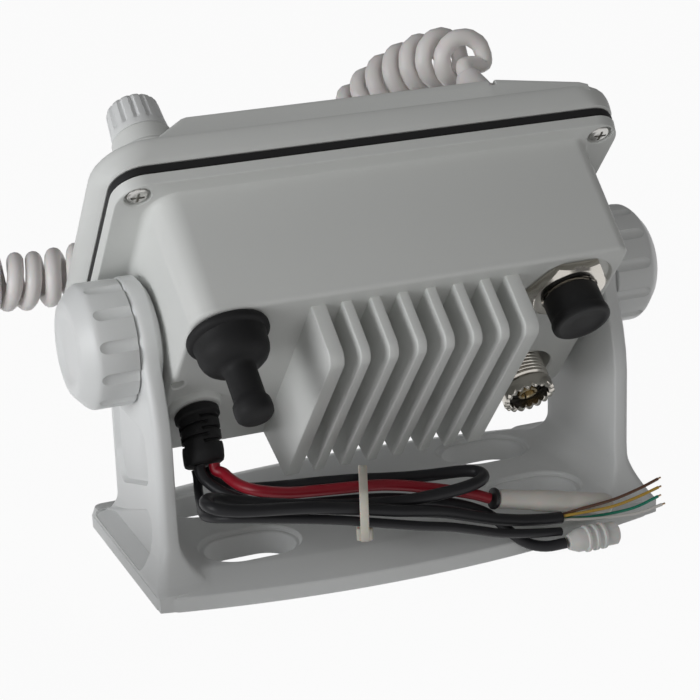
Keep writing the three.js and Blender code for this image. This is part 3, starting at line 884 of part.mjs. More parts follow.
place(radio, "rear_case", rearCase(), whiteCase);
place(radio, "case_gasket", caseGasket(), blackRubber);
place(radio, "front_bezel", frontBezel(), whiteCase);
screwCentres().forEach((centre, i) => place(radio, "case_screw_" + (i + 1), caseScrew(centre), steel));
insidePieces();
keyCentres().forEach(([x, z], i) => place(radio, "key_" + (i + 1), keyCap(x, z, keys.width, keys.height, keys.proud), greyPlastic));
place(radio, "distress_key", keyCap(distress.x, distress.z, distress.width, distress.height, 0), redPlastic);
place(radio, "distress_flap", distressFlap(), redPlastic);
place(radio, "channel_knob", flutedKnob(channel), whiteCase);
place(radio, "channel_shaft", shaftOf(channel), steel);
place(radio, "volume_knob", flutedKnob(volume), whiteCase);
place(radio, "volume_shaft", shaftOf(volume), steel);
place(radio, "antenna_socket", antennaShell(), nickel);
place(radio, "antenna_insulator", antennaInsulator(), blackPlastic);
place(radio, "antenna_contact", antennaContact(), brass);
place(radio, "accessory_barrel", accessoryBarrel(), nickel);
place(radio, "accessory_nut", accessoryNut(), nickel);
place(radio, "dust_cap", dustCap(), blackRubber);
place(radio, "boot_jack", bootJack(), blackPlastic);
place(radio, "accessory_boot", rubberBoot(), blackRubber);
place(radio, "power_strain_relief", powerRelief(), blackRubber);
place(radio, "cord_strain_relief", microphoneRelief(), whiteCord);
place(whole, "yoke_bracket", bracket(), whiteBracket);
for (const [sign, hand] of [[1, "right"], [-1, "left"]]) {
  place(whole, "clamp_knob_" + hand, clampKnob(sign), whiteBracket);
  place(whole, "clamp_stud_" + hand, clampStud(sign), steel);
  place(whole, "friction_washer_" + hand, frictionWasher(sign), blackRubber);
}
microphone(whole);
const curly = curlyCord();
place(whole, "mic_cord", curly.geometry, whiteCord);
const closest = leastGap(curly.line);
console.log("curly cord: " + curly.curls.toFixed(1) + " curls, least gap to itself " + closest.gap.toFixed(2) + " mm near " + closest.at);
cables(whole);

export default whole;
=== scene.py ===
import math
import bmesh
import bpy
from mathutils import Matrix, Vector


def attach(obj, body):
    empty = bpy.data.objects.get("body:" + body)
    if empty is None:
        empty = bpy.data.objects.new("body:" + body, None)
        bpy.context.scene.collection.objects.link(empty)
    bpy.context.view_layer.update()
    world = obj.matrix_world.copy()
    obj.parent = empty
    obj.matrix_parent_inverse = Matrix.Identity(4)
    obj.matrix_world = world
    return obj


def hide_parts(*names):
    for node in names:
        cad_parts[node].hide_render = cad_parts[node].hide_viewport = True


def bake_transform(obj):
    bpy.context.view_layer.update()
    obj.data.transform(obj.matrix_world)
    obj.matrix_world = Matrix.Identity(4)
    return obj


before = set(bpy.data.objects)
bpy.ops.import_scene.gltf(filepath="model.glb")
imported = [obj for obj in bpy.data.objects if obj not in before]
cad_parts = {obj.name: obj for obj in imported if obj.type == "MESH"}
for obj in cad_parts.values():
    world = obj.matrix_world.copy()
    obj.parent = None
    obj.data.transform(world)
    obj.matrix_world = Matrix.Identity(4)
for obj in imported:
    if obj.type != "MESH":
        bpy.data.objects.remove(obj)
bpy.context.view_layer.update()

scene = bpy.context.scene
scene.view_settings.view_transform = "Standard"
print("frame loaded:", len(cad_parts), "nodes")

# the radio is drawn in millimetres in its own case frame, then scaled and tilted about the pivot
pose = {"tilt": 40.44, "pivotHeight": 67.2}
lean = math.radians(pose["tilt"])
caseToWorld = Matrix.Translation((0, 0, pose["pivotHeight"])) @ Matrix.Rotation(-lean, 4, "X")
millimetre = Matrix.Scale(0.001, 4)


def fromCase(x, y, z):
    return caseToWorld @ Vector((x, y, z))


# camera at the photograph's angle
viewpoint = {"azimuth": 21.98, "elevation": 19.11, "roll": -1.94, "distance": 0.61753, "target": (0.0054, 0.0, 0.05364),
    "lens": 110.75, "sensor": 36.0}


def placeCamera():
    az, el, roll = (math.radians(viewpoint[k]) for k in ("azimuth", "elevation", "roll"))
    back = Vector((math.sin(az) * math.cos(el), math.cos(az) * math.cos(el), math.sin(el)))
    right = (-back).cross(Vector((0, 0, 1))).normalized()
    up = right.cross(-back)
    rolledRight = right * math.cos(roll) + up * math.sin(roll)
    rolledUp = up * math.cos(roll) - right * math.sin(roll)
    data = bpy.data.cameras.new("photoCamera")
    data.lens = viewpoint["lens"]
    data.sensor_width = viewpoint["sensor"]
    data.sensor_fit = "HORIZONTAL"
    data.clip_end = 20
    cam = bpy.data.objects.new("photoCamera", data)
    scene.collection.objects.link(cam)
    turn = Matrix((rolledRight, rolledUp, back)).transposed().to_4x4()
    cam.matrix_world = Matrix.Translation(Vector(viewpoint["target"]) + back * viewpoint["distance"]) @ turn
    scene.camera = cam


placeCamera()

# materials


def nodeGroup(name, inputs, outputs):
    group = bpy.data.node_groups.new(name, "ShaderNodeTree")
    for label, kind, value in inputs:
        socket = group.interface.new_socket(label, in_out="INPUT", socket_type=kind)
        if value is not None:
            socket.default_value = value
    for label, kind in outputs:
        group.interface.new_socket(label, in_out="OUTPUT", socket_type=kind)
    return group, group.nodes.new("NodeGroupInput"), group.nodes.new("NodeGroupOutput")


def mathNode(nodes, operation):
    node = nodes.new("ShaderNodeMath")
    node.operation = operation
    return node


def makeGrainGroup():
    # fine moulded or sprayed texture, with broad uneven tone
    group, start, end = nodeGroup("surfaceGrain", [
        ("Vector", "NodeSocketVector", None), ("Grain Scale", "NodeSocketFloat", 900.0), ("Tone Scale", "NodeSocketFloat", 18.0),
        ("Color", "NodeSocketColor", (0.8, 0.8, 0.8, 1)), ("Tone Color", "NodeSocketColor", (0.7, 0.7, 0.7, 1)),
        ("Roughness", "NodeSocketFloat", 0.5), ("Roughness Spread", "NodeSocketFloat", 0.1),
    ], [("Color", "NodeSocketColor"), ("Roughness", "NodeSocketFloat"), ("Height", "NodeSocketFloat")])
    n, link = group.nodes, group.links.new
    grain = n.new("ShaderNodeTexNoise")
    grain.inputs["Detail"].default_value = 3
    tone = n.new("ShaderNodeTexNoise")
    tone.inputs["Detail"].default_value = 4
    mix = n.new("ShaderNodeMix")
    mix.data_type = "RGBA"
    spread = mathNode(n, "MULTIPLY_ADD")
    centre = mathNode(n, "SUBTRACT")
    centre.inputs[1].default_value = 0.5
    link(start.outputs["Vector"], grain.inputs["Vector"])
    link(start.outputs["Grain Scale"], grain.inputs["Scale"])
    link(start.outputs["Vector"], tone.inputs["Vector"])
    link(start.outputs["Tone Scale"], tone.inputs["Scale"])
    link(tone.outputs["Fac"], mix.inputs["Factor"])
    link(start.outputs["Color"], mix.inputs["A"])
    link(start.outputs["Tone Color"], mix.inputs["B"])
    link(mix.outputs["Result"], end.inputs["Color"])
    link(tone.outputs["Fac"], centre.inputs[0])
    link(centre.outputs[0], spread.inputs[0])
    link(start.outputs["Roughness Spread"], spread.inputs[1])
    link(start.outputs["Roughness"], spread.inputs[2])
    link(spread.outputs[0], end.inputs["Roughness"])
    link(grain.outputs["Fac"], end.inputs["Height"])
    return group


def makeTurnedGroup():
    # fine lathe rings round the piece's own axis, worked from the distance to a centre
    group, start, end = nodeGroup("turnedRings", [
        ("Vector", "NodeSocketVector", None), ("Ring Scale", "NodeSocketFloat", 1500.0), ("Height", "NodeSocketFloat", 0.5),
    ], [("Height", "NodeSocketFloat")])
    n, link = group.nodes, group.links.new
    wave = n.new("ShaderNodeTexWave")
    wave.wave_type = "RINGS"
    wave.rings_direction = "SPHERICAL"
    wave.inputs["Distortion"].default_value = 1.2
    wave.inputs["Detail"].default_value = 2
    blend = mathNode(n, "MULTIPLY_ADD")
    link(start.outputs["Vector"], wave.inputs["Vector"])
    link(start.outputs["Ring Scale"], wave.inputs["Scale"])
    link(wave.outputs["Fac"], blend.inputs[0])
    blend.inputs[1].default_value = 0.4
    link(start.outputs["Height"], blend.inputs[2])
    link(blend.outputs[0], end.inputs["Height"])
    return group


def makeDustGroup():
    # light handling dust, thicker where a broad noise is high
    group, start, end = nodeGroup("handlingDust", [
        ("Vector", "NodeSocketVector", None), ("Color", "NodeSocketColor", (0.1, 0.1, 0.1, 1)),
        ("Dust Color", "NodeSocketColor", (0.35, 0.33, 0.3, 1)), ("Amount", "NodeSocketFloat", 0.1),
    ], [("Color", "NodeSocketColor")])
    n, link = group.nodes, group.links.new
    noise = n.new("ShaderNodeTexNoise")
    noise.inputs["Scale"].default_value = 65
    noise.inputs["Detail"].default_value = 6
    ramp = n.new("ShaderNodeMapRange")
    ramp.inputs["From Min"].default_value = 0.45
    ramp.inputs["From Max"].default_value = 0.8
    share = mathNode(n, "MULTIPLY")
    mix = n.new("ShaderNodeMix")
    mix.data_type = "RGBA"
    link(start.outputs["Vector"], noise.inputs["Vector"])
    link(noise.outputs["Fac"], ramp.inputs["Value"])
    link(ramp.outputs["Result"], share.inputs[0])
    link(start.outputs["Amount"], share.inputs[1])
    link(share.outputs[0], mix.inputs["Factor"])
    link(start.outputs["Color"], mix.inputs["A"])
    link(start.outputs["Dust Color"], mix.inputs["B"])
    link(mix.outputs["Result"], end.inputs["Color"])
    return group


grainGroup = makeGrainGroup()
turnedGroup = makeTurnedGroup()
dustGroup = makeDustGroup()


def placeGroup(nodes, group):
    holder = nodes.new("ShaderNodeGroup")
    holder.node_tree = group
    return holder


def makeFinish(name, look):
    material = bpy.data.materials.new(name)
    material.use_nodes = True
    nodes, link = material.node_tree.nodes, material.node_tree.links.new
    shader = nodes["Principled BSDF"]
    coordinates = nodes.new("ShaderNodeTexCoord")
    grain = placeGroup(nodes, grainGroup)
    color = look["color"]
    tone = look.get("tone", tuple(c * 0.93 for c in color))
    link(coordinates.outputs["Object"], grain.inputs["Vector"])
    grain.inputs["Color"].default_value = (*color, 1)
    grain.inputs["Tone Color"].default_value = (*tone, 1)
    grain.inputs["Grain Scale"].default_value = look.get("grain", 900)
    grain.inputs["Tone Scale"].default_value = look.get("patch", 18)
    grain.inputs["Roughness"].default_value = look["roughness"]
    grain.inputs["Roughness Spread"].default_value = look.get("spread", 0.12)
    surface = grain.outputs["Color"]
    if "dust" in look:
        dust = placeGroup(nodes, dustGroup)
        link(coordinates.outputs["Object"], dust.inputs["Vector"])
        link(surface, dust.inputs["Color"])
        dust.inputs["Amount"].default_value = look["dust"]
        surface = dust.outputs["Color"]
    link(surface, shader.inputs["Base Color"])
    link(grain.outputs["Roughness"], shader.inputs["Roughness"])
    height = grain.outputs["Height"]
    if "rings" in look:
        mapping = nodes.new("ShaderNodeMapping")
        mapping.inputs["Location"].default_value = tuple(-c for c in look["centre"])
        rings = placeGroup(nodes, turnedGroup)
        rings.inputs["Ring Scale"].default_value = look["rings"]
        link(coordinates.outputs["Object"], mapping.inputs["Vector"])
        link(mapping.outputs["Vector"], rings.inputs["Vector"])
        link(height, rings.inputs["Height"])
        height = rings.outputs["Height"]
    bump = nodes.new("ShaderNodeBump")
    bump.inputs["Strength"].default_value = look.get("bump", 0.15)
    bump.inputs["Distance"].default_value = look.get("bumpDepth", 0.00012)
    link(height, bump.inputs["Height"])
    link(bump.outputs["Normal"], shader.inputs["Normal"])
    shader.inputs["Metallic"].default_value = look.get("metallic", 0.0)
    shader.inputs["IOR"].default_value = look.get("ior", 1.46)
    shader.inputs["Coat Weight"].default_value = look.get("coat", 0.0)
    shader.inputs["Coat Roughness"].default_value = look.get("coatRoughness", 0.2)
    shader.inputs["Subsurface Weight"].default_value = look.get("under", 0.0)
    shader.inputs["Subsurface Scale"].default_value = 0.002
    shader.inputs["Transmission Weight"].default_value = look.get("clear", 0.0)
    material.diffuse_color = (*color, 1)
    return material


finishes = {
    "casePaint": {"color": (0.76, 0.77, 0.755), "tone": (0.725, 0.735, 0.72), "roughness": 0.46, "grain": 1500,
        "bump": 0.22, "bumpDepth": 0.0001},
    "bracketPaint": {"color": (0.79, 0.8, 0.8), "tone": (0.755, 0.765, 0.765), "roughness": 0.4, "grain": 1500, "bump": 0.14},
    "knobPlastic": {"color": (0.81, 0.82, 0.82), "tone": (0.79, 0.8, 0.8), "roughness": 0.36, "grain": 2200, "bump": 0.08},
    "cordVinyl": {"color": (0.92, 0.89, 0.875), "tone": (0.89, 0.85, 0.835), "roughness": 0.34, "grain": 600, "bump": 0.06, "under": 0.1},
    "softRubber": {"color": (0.012, 0.012, 0.013), "tone": (0.02, 0.02, 0.021), "roughness": 0.6, "grain": 1400,
        "bump": 0.3, "dust": 0.012, "ior": 1.3},
    "gasketRubber": {"color": (0.014, 0.014, 0.015), "roughness": 0.7, "grain": 1600, "bump": 0.3},
    "cableJacket": {"color": (0.014, 0.014, 0.016), "tone": (0.022, 0.022, 0.025), "roughness": 0.42, "grain": 900,
        "bump": 0.12, "dust": 0.01, "ior": 1.32},
    "redJacket": {"color": (0.33, 0.006, 0.02), "tone": (0.26, 0.004, 0.014), "roughness": 0.38, "grain": 900, "bump": 0.1},
    "hardBlack": {"color": (0.012, 0.012, 0.013), "roughness": 0.42, "grain": 1800, "bump": 0.2},
    "keyGrey": {"color": (0.4, 0.42, 0.43), "roughness": 0.5, "grain": 1500, "bump": 0.2},
    "alarmRed": {"color": (0.5, 0.02, 0.02), "roughness": 0.36, "grain": 1400, "bump": 0.1, "coat": 0.2},
    "nickelPlate": {"color": (0.66, 0.63, 0.58), "tone": (0.56, 0.53, 0.48), "roughness": 0.24, "metallic": 1.0,
        "grain": 700, "bump": 0.05, "spread": 0.2},
    "contactMetal": {"color": (0.72, 0.62, 0.42), "tone": (0.64, 0.52, 0.34), "roughness": 0.25, "metallic": 1.0,
        "grain": 900, "bump": 0.05},
    "screwSteel": {"color": (0.6, 0.59, 0.57), "roughness": 0.28, "metallic": 1.0, "grain": 2500, "bump": 0.1},
    "sleeveFilm": {"color": (0.76, 0.74, 0.7), "tone": (0.68, 0.65, 0.6), "roughness": 0.3, "grain": 500, "patch": 60,
        "bump": 0.15, "under": 0.35},
    "tieNylon": {"color": (0.72, 0.7, 0.64), "tone": (0.66, 0.63, 0.55), "roughness": 0.38, "grain": 900, "bump": 0.1, "under": 0.4},
    "plugPlastic": {"color": (0.74, 0.74, 0.73), "tone": (0.68, 0.68, 0.66), "roughness": 0.4, "grain": 1200, "bump": 0.1, "under": 0.25},
    "brownWire": {"color": (0.13, 0.06, 0.035), "roughness": 0.45},
    "yellowWire": {"color": (0.58, 0.36, 0.06), "roughness": 0.45},
    "greenWire": {"color": (0.01, 0.22, 0.14), "roughness": 0.45},
    "whiteWire": {"color": (0.72, 0.7, 0.67), "roughness": 0.45},
    "copperStrand": {"color": (0.62, 0.42, 0.26), "tone": (0.5, 0.34, 0.22), "roughness": 0.35, "metallic": 1.0,
        "grain": 4000, "bump": 0.4},
    "boardLacquer": {"color": (0.02, 0.13, 0.06), "tone": (0.03, 0.17, 0.08), "roughness": 0.4, "patch": 260, "grain": 600, "bump": 0.3},
    "moduleGrey": {"color": (0.3, 0.33, 0.31), "roughness": 0.5},
    "speakerCone": {"color": (0.02, 0.02, 0.02), "roughness": 0.8, "grain": 800, "bump": 0.5},
    "displayGlass": {"color": (0.05, 0.06, 0.065), "tone": (0.045, 0.055, 0.06), "roughness": 0.08, "spread": 0.02,
        "bump": 0.0, "coat": 0.6, "coatRoughness": 0.05},
}
finish = {name: makeFinish(name, look) for name, look in finishes.items()}
print("materials made:", len(finish))

# modelling helpers


def letGo():
    if bpy.context.object and bpy.context.object.mode != "OBJECT":
        bpy.ops.object.mode_set(mode="OBJECT")
    bpy.ops.object.select_all(action="DESELECT")


def takeUp(piece):
    letGo()
    piece.select_set(True)
    bpy.context.view_layer.objects.active = piece


def pullRings(name, rings):
    # a filled circle is laid on the first ring, then extruded from ring to ring
    letGo()
    bpy.ops.mesh.primitive_circle_add(vertices=len(rings[0]), radius=1, fill_type="NGON")
    piece = bpy.context.object
    piece.name = name
    for vertex, point in zip(piece.data.vertices, rings[0]):
        vertex.co = point
    bpy.ops.object.mode_set(mode="EDIT")
    edit = bmesh.from_edit_mesh(piece.data)
    edit.verts.ensure_lookup_table()
    order = edit.verts.layers.int.new("order")
    for i, vertex in enumerate(edit.verts):
        vertex[order] = i
    bmesh.update_edit_mesh(piece.data)
    bpy.ops.mesh.select_all(action="SELECT")
    for ring in rings[1:]:
        bpy.ops.mesh.extrude_region_move()
        edit = bmesh.from_edit_mesh(piece.data)
        order = edit.verts.layers.int["order"]
        for vertex in edit.verts:
            if vertex.select:
                vertex.co = ring[vertex[order]]
        bmesh.update_edit_mesh(piece.data)
    bpy.ops.mesh.select_all(action="SELECT")
    bpy.ops.mesh.normals_make_consistent(inside=False)
    if bmesh.from_edit_mesh(piece.data).calc_volume(signed=True) < 0:
        bpy.ops.mesh.flip_normals()
    bpy.ops.object.mode_set(mode="OBJECT")
    return piece


def circleAlongY(x, z, radius, y, sides=64, phase=0.0):
    return [Vector((x + radius * math.cos(phase + 2 * math.pi * i / sides), y,
        z + radius * math.sin(phase + 2 * math.pi * i / sides))) for i in range(sides)]


def turnAlongY(name, x, z, profile, sides=64):
    return pullRings(name, [circleAlongY(x, z, radius, y, sides) for radius, y in profile])


def turnAlongX(name, profile, sides=72, y=0.0, z=0.0):
    return pullRings(name, [[Vector((x, y + r * math.cos(2 * math.pi * i / sides),
        z + r * math.sin(2 * math.pi * i / sides))) for i in range(sides)] for r, x in profile])


def turnAlongZ(name, x, y, profile, sides=48):
    return pullRings(name, [[Vector((x + r * math.cos(2 * math.pi * i / sides),
        y + r * math.sin(2 * math.pi * i / sides), z)) for i in range(sides)] for r, z in profile])


def roundedBox(x0, x1, z0, z1, radius, steps=8, bottomHalf=None):
    # corner points in x and z, from the right top corner round; the foot may be wider than the head, and each corner may have its own radius
    out = []
    middle = (x0 + x1) / 2
    half = (x1 - x0) / 2
    foot = half if bottomHalf is None else bottomHalf
    radii = radius if isinstance(radius, (tuple, list)) else (radius,) * 4
    corners = [(middle + half, z1, 1, 1), (middle - half, z1, -1, 1), (middle - foot, z0, -1, -1), (middle + foot, z0, 1, -1)]
    for quarter, (cx, cz, sx, sz) in enumerate(corners):
        r = radii[quarter]
        for i in range(steps + 1):
            a = (quarter + i / steps) * math.pi / 2
            out.append((cx - sx * r + r * math.cos(a), cz - sz * r + r * math.sin(a)))
    return out


def grown(radii, amount):
    return tuple(r + amount for r in radii)


def caseRing(y, half, low, high, radius, bottomHalf=None, steps=8):
    return [Vector((x, y, z)) for x, z in roundedBox(-half, half, low, high, radius, steps, bottomHalf)]


def shrunk(points, amount):
    # the outline moved inwards along its own corner normals
    out = []
    count = len(points)
    area = sum(points[i][0] * points[(i + 1) % count][1] - points[(i + 1) % count][0] * points[i][1] for i in range(count))
    sign = 1 if area > 0 else -1
    for i in range(count):
        a, b, c = Vector(points[i - 1]), Vector(points[i]), Vector(points[(i + 1) % count])
        first, second = (b - a).normalized(), (c - b).normalized()
        n1, n2 = Vector((-first.y, first.x)) * sign, Vector((-second.y, second.x)) * sign
        whole = n1 + n2
        if whole.length < 1e-6:
            whole = n1
        whole.normalize()
        reach = amount / max(0.4, whole.dot(n1))
        out.append((b.x + whole.x * reach, b.y + whole.y * reach))
    return out


def slab(name, points, low, high, edge, toPoint, steps=3):
    # an outline pulled through a depth, its edges rounded off at both ends
    levels = [(edge * (1 - math.sin(a)), edge * (1 - math.cos(a)))
        for a in (math.pi / 2 * i / steps for i in range(steps + 1))] if edge else [(0, 0)]
    rings = [[toPoint(u, v, low + depth) for u, v in shrunk(points, inset)] for inset, depth in levels]
    rings += [[toPoint(u, v, high - depth) for u, v in shrunk(points, inset)] for inset, depth in reversed(levels)]
    return pullRings(name, rings)


def slabXZ(name, points, low, high, edge=0.0, steps=3):
    return slab(name, points, low, high, edge, lambda u, v, d: Vector((u, d, v)), steps)


def slabYZ(name, points, low, high, edge=0.0, steps=3):
    return slab(name, points, low, high, edge, lambda u, v, d: Vector((d, u, v)), steps)


def slabXY(name, points, low, high, edge=0.0, steps=3):
    return slab(name, points, low, high, edge, lambda u, v, d: Vector((u, v, d)), steps)


def between(a, b, t):
    return a + (b - a) * t


def combine(piece, others, operation, crossing=False):
    # crossing also sorts out faces that meet within one of the pieces
    for other in others:
        takeUp(piece)
        step = piece.modifiers.new("combine", "BOOLEAN")
        step.operation = operation
        step.solver = "EXACT"
        step.use_self = crossing
        step.object = other
        bpy.ops.object.modifier_apply(modifier=step.name)
        bpy.data.objects.remove(other, do_unlink=True)
    return piece


def carve(piece, cutters, crossing=False):
    return combine(piece, cutters, "DIFFERENCE", crossing)


def weld(piece, others, crossing=False):
    return combine(piece, others, "UNION", crossing)


def gather(pieces):
    # several meshes become one object
    letGo()
    for piece in pieces:
        piece.select_set(True)
    bpy.context.view_layer.objects.active = pieces[0]
    bpy.ops.object.join()
    return bpy.context.object


def copyOf(piece, name, matrix):
    letGo()
    twin = piece.copy()
    twin.data = piece.data.copy()
    twin.name = name
    scene.collection.objects.link(twin)
    twin.data.transform(matrix)
    if matrix.determinant() < 0:
        takeUp(twin)
        bpy.ops.object.mode_set(mode="EDIT")
        bpy.ops.mesh.select_all(action="SELECT")
        bpy.ops.mesh.normals_make_consistent(inside=False)
        bpy.ops.object.mode_set(mode="OBJECT")
    return twin


def settle(piece, name, body, material, stands=(), inCase=True, smooth=35):
    # from millimetres in its own frame to its place, then its finish and its body
    takeUp(piece)
    piece.name = name
    piece.data.name = name
    piece.data.transform(millimetre @ caseToWorld if inCase else millimetre)
    if piece.data.attributes.get("order"):
        piece.data.attributes.remove(piece.data.attributes["order"])
    bpy.ops.object.shade_smooth_by_angle(angle=math.radians(smooth))
    piece.data.materials.clear()
    piece.data.materials.append(finish[material])
    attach(piece, body)
    if stands:
        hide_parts(*([stands] if isinstance(stands, str) else stands))
    return piece


# cords: routes repeat the solids' routes


def smoothRoute(points, perSpan):
    # centripetal curve through the points
    pts = [Vector(p) for p in points]
    pts = [pts[0] * 2 - pts[1]] + pts + [pts[-1] * 2 - pts[-2]]
    out = []
    for k in range(1, len(pts) - 2):
        p0, p1, p2, p3 = pts[k - 1:k + 3]
        t1 = (p1 - p0).length ** 0.5
        t2 = t1 + (p2 - p1).length ** 0.5
        t3 = t2 + (p3 - p2).length ** 0.5
        count = perSpan if k < len(pts) - 3 else perSpan + 1
        for i in range(count):
            t = t1 + (t2 - t1) * i / perSpan
            a1 = p0 * ((t1 - t) / t1) + p1 * (t / t1)
            a2 = p1 * ((t2 - t) / (t2 - t1)) + p2 * ((t - t1) / (t2 - t1))
            a3 = p2 * ((t3 - t) / (t3 - t2)) + p3 * ((t - t2) / (t3 - t2))
            b1 = a1 * ((t2 - t) / t2) + a2 * (t / t2)
            b2 = a2 * ((t3 - t) / (t3 - t1)) + a3 * ((t - t1) / (t3 - t1))
            out.append(b1 * ((t2 - t) / (t2 - t1)) + b2 * ((t - t1) / (t2 - t1)))
    return out


def evenly(points, count):
    # the same route at equal steps
    reach = [0.0]
    for a, b in zip(points, points[1:]):
        reach.append(reach[-1] + (b - a).length)
    out, k = [], 0
    for i in range(count + 1):
        goal = reach[-1] * i / count
        while k < len(reach) - 2 and reach[k + 1] < goal:
            k += 1
        span = reach[k + 1] - reach[k]
        out.append(points[k].lerp(points[k + 1], (goal - reach[k]) / span if span else 0))
    return out


def routeLength(points):
    return sum((b - a).length for a, b in zip(points, points[1:]))


def cordCurve(name, points, diameter, material, around=4):
    data = bpy.data.curves.new(name, "CURVE")
    data.dimensions = "3D"
    data.bevel_depth = diameter / 2000
    data.bevel_resolution = around
    data.use_fill_caps = True
    spline = data.splines.new("POLY")
    spline.points.add(len(points) - 1)
    for point, place in zip(spline.points, points):
        point.co = (*(place * 0.001), 1)
    spline.use_smooth = True
    data.materials.append(finish[material])
    piece = bpy.data.objects.new(name, data)
    scene.collection.objects.link(piece)
    takeUp(piece)
    bpy.ops.object.convert(target="MESH")
    piece = bpy.context.object
    piece.name = name
    return piece


coil = {
    "wire": 5.0, "radius": 6.4, "wider": 1.6, "lead": 1.6, "lean": 0.6, "start": 4.3, "give": 0.2, "seat": 0.3,
        "inside": 16.0, "perCurl": 20,
    # how far along the axis, and the pitch of the curls there
    "pitches": [(0, 6.6), (12, 6.2), (50, 6.2), (70, 6.6), (150, 6.6), (165, 5.5), (205, 5.5), (225, 7.2), (330, 7.2)],
    "onPanel": [(-39.5, -52, 38.7), (-38.8, -55, 36.2), (-36, -58.6, 32.4), (-32.8, -61.6, 26.8), (-29.2, -63.6, 20.9),
        (-25.6, -64.8, 14.9), (-22.6, -65.2, 9), (-19.4, -64.6, 3.4), (-15.6, -62.6, -2.2), (-9, -59.6, -9.4),
        (0, -56, -16.6), (12, -52.4, -23.6), (26, -50.4, -29.2), (40, -49.6, -33.8), (53, -49.6, -37.6),
        (66, -50.2, -41), (79, -51, -43.6)],
    "beyond": [(93, -68, 67.6), (105, -69, 63.6), (118, -69, 55), (130.5, -66.5, 42.5), (142, -62, 29.5),
        (152, -55, 18.6), (160.5, -46.5, 12.4), (166.4, -36.5, 10.6), (169, -26.4, 11)],
    "tip": (-38, -46.8, 38.5), "micTip": (169, -18, 11),
}


def pitchAt(along):
    table = coil["pitches"]
    for (place, pitch), (placeAfter, pitchAfter) in zip(table, table[1:]):
        if along < placeAfter:
            return pitch + (pitchAfter - pitch) * (along - place) / (placeAfter - place)
    return table[-1][1]


def coilRoute():
    c = coil
    axis = evenly(smoothRoute([fromCase(*p) for p in c["onPanel"]] + [Vector(p) for p in c["beyond"]], 40), 1200)
    length = routeLength(axis)
    fine = len(axis) - 1
    tangents = [(axis[min(fine, i + 1)] - axis[max(0, i - 1)]).normalized() for i in range(fine + 1)]
    normal = fromCase(0, 0, 1) - fromCase(0, 0, 0)
    turned, following, curls = c["start"], c["start"], []
    closing = c["radius"] * 2.4
    step = 2 * math.pi / c["perCurl"]
    for i in range(fine + 1):
        tangent = tangents[i]
        normal = (normal - tangent * normal.dot(tangent)).normalized()
        across = normal.cross(tangent)
        bend = tangents[i + 1].angle(tangents[i - 1]) / (2 * length / fine) if 0 < i < fine else 0
        left = length - length * i / fine
        share = min(1, max(0, (left - c["wire"] * 0.6) / (closing - c["wire"] * 0.6)))
        radius = c["radius"] * share * share * (3 - 2 * share)
        if turned >= following and left > c["wire"]:
            curls.append(axis[i] + normal * radius * math.cos(turned) + across * radius * math.sin(turned))
            following += step
        pitch = pitchAt(length - left) / (1 - min(c["give"], c["radius"] * bend / 2)) * (c["wider"] if left < closing else 1)
        turned += length / fine / pitch * 2 * math.pi
    tip = fromCase(c["tip"][0], c["tip"][1] - c["seat"], c["tip"][2])
    out = fromCase(0, -1, 0) - fromCase(0, 0, 0)
    lead = [tip, tip + out * c["lead"], tip + out * c["lead"] * 2 - Vector((c["lean"], 0, 0))]
    end = Vector(c["micTip"]) - Vector((0, c["seat"], 0))
    tail = [end - Vector((0, c["wire"] * 1.1, 0)), end - Vector((0, c["wire"] * 0.5, 0)), end, end + Vector((0, c["inside"], 0))]
    lead = smoothRoute(lead + curls[:2], 5)[:-1]
    tail = smoothRoute([curls[-1]] + tail, 5)[1:]
    return lead + curls[1:] + tail


def makeMicCord():
    route = coilRoute()
    cord = cordCurve("micCurlyCord", route, coil["wire"], "cordVinyl", around=5)
    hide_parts("mic_cord")
    return cord, route


micCurlyCord, micRoute = makeMicCord()

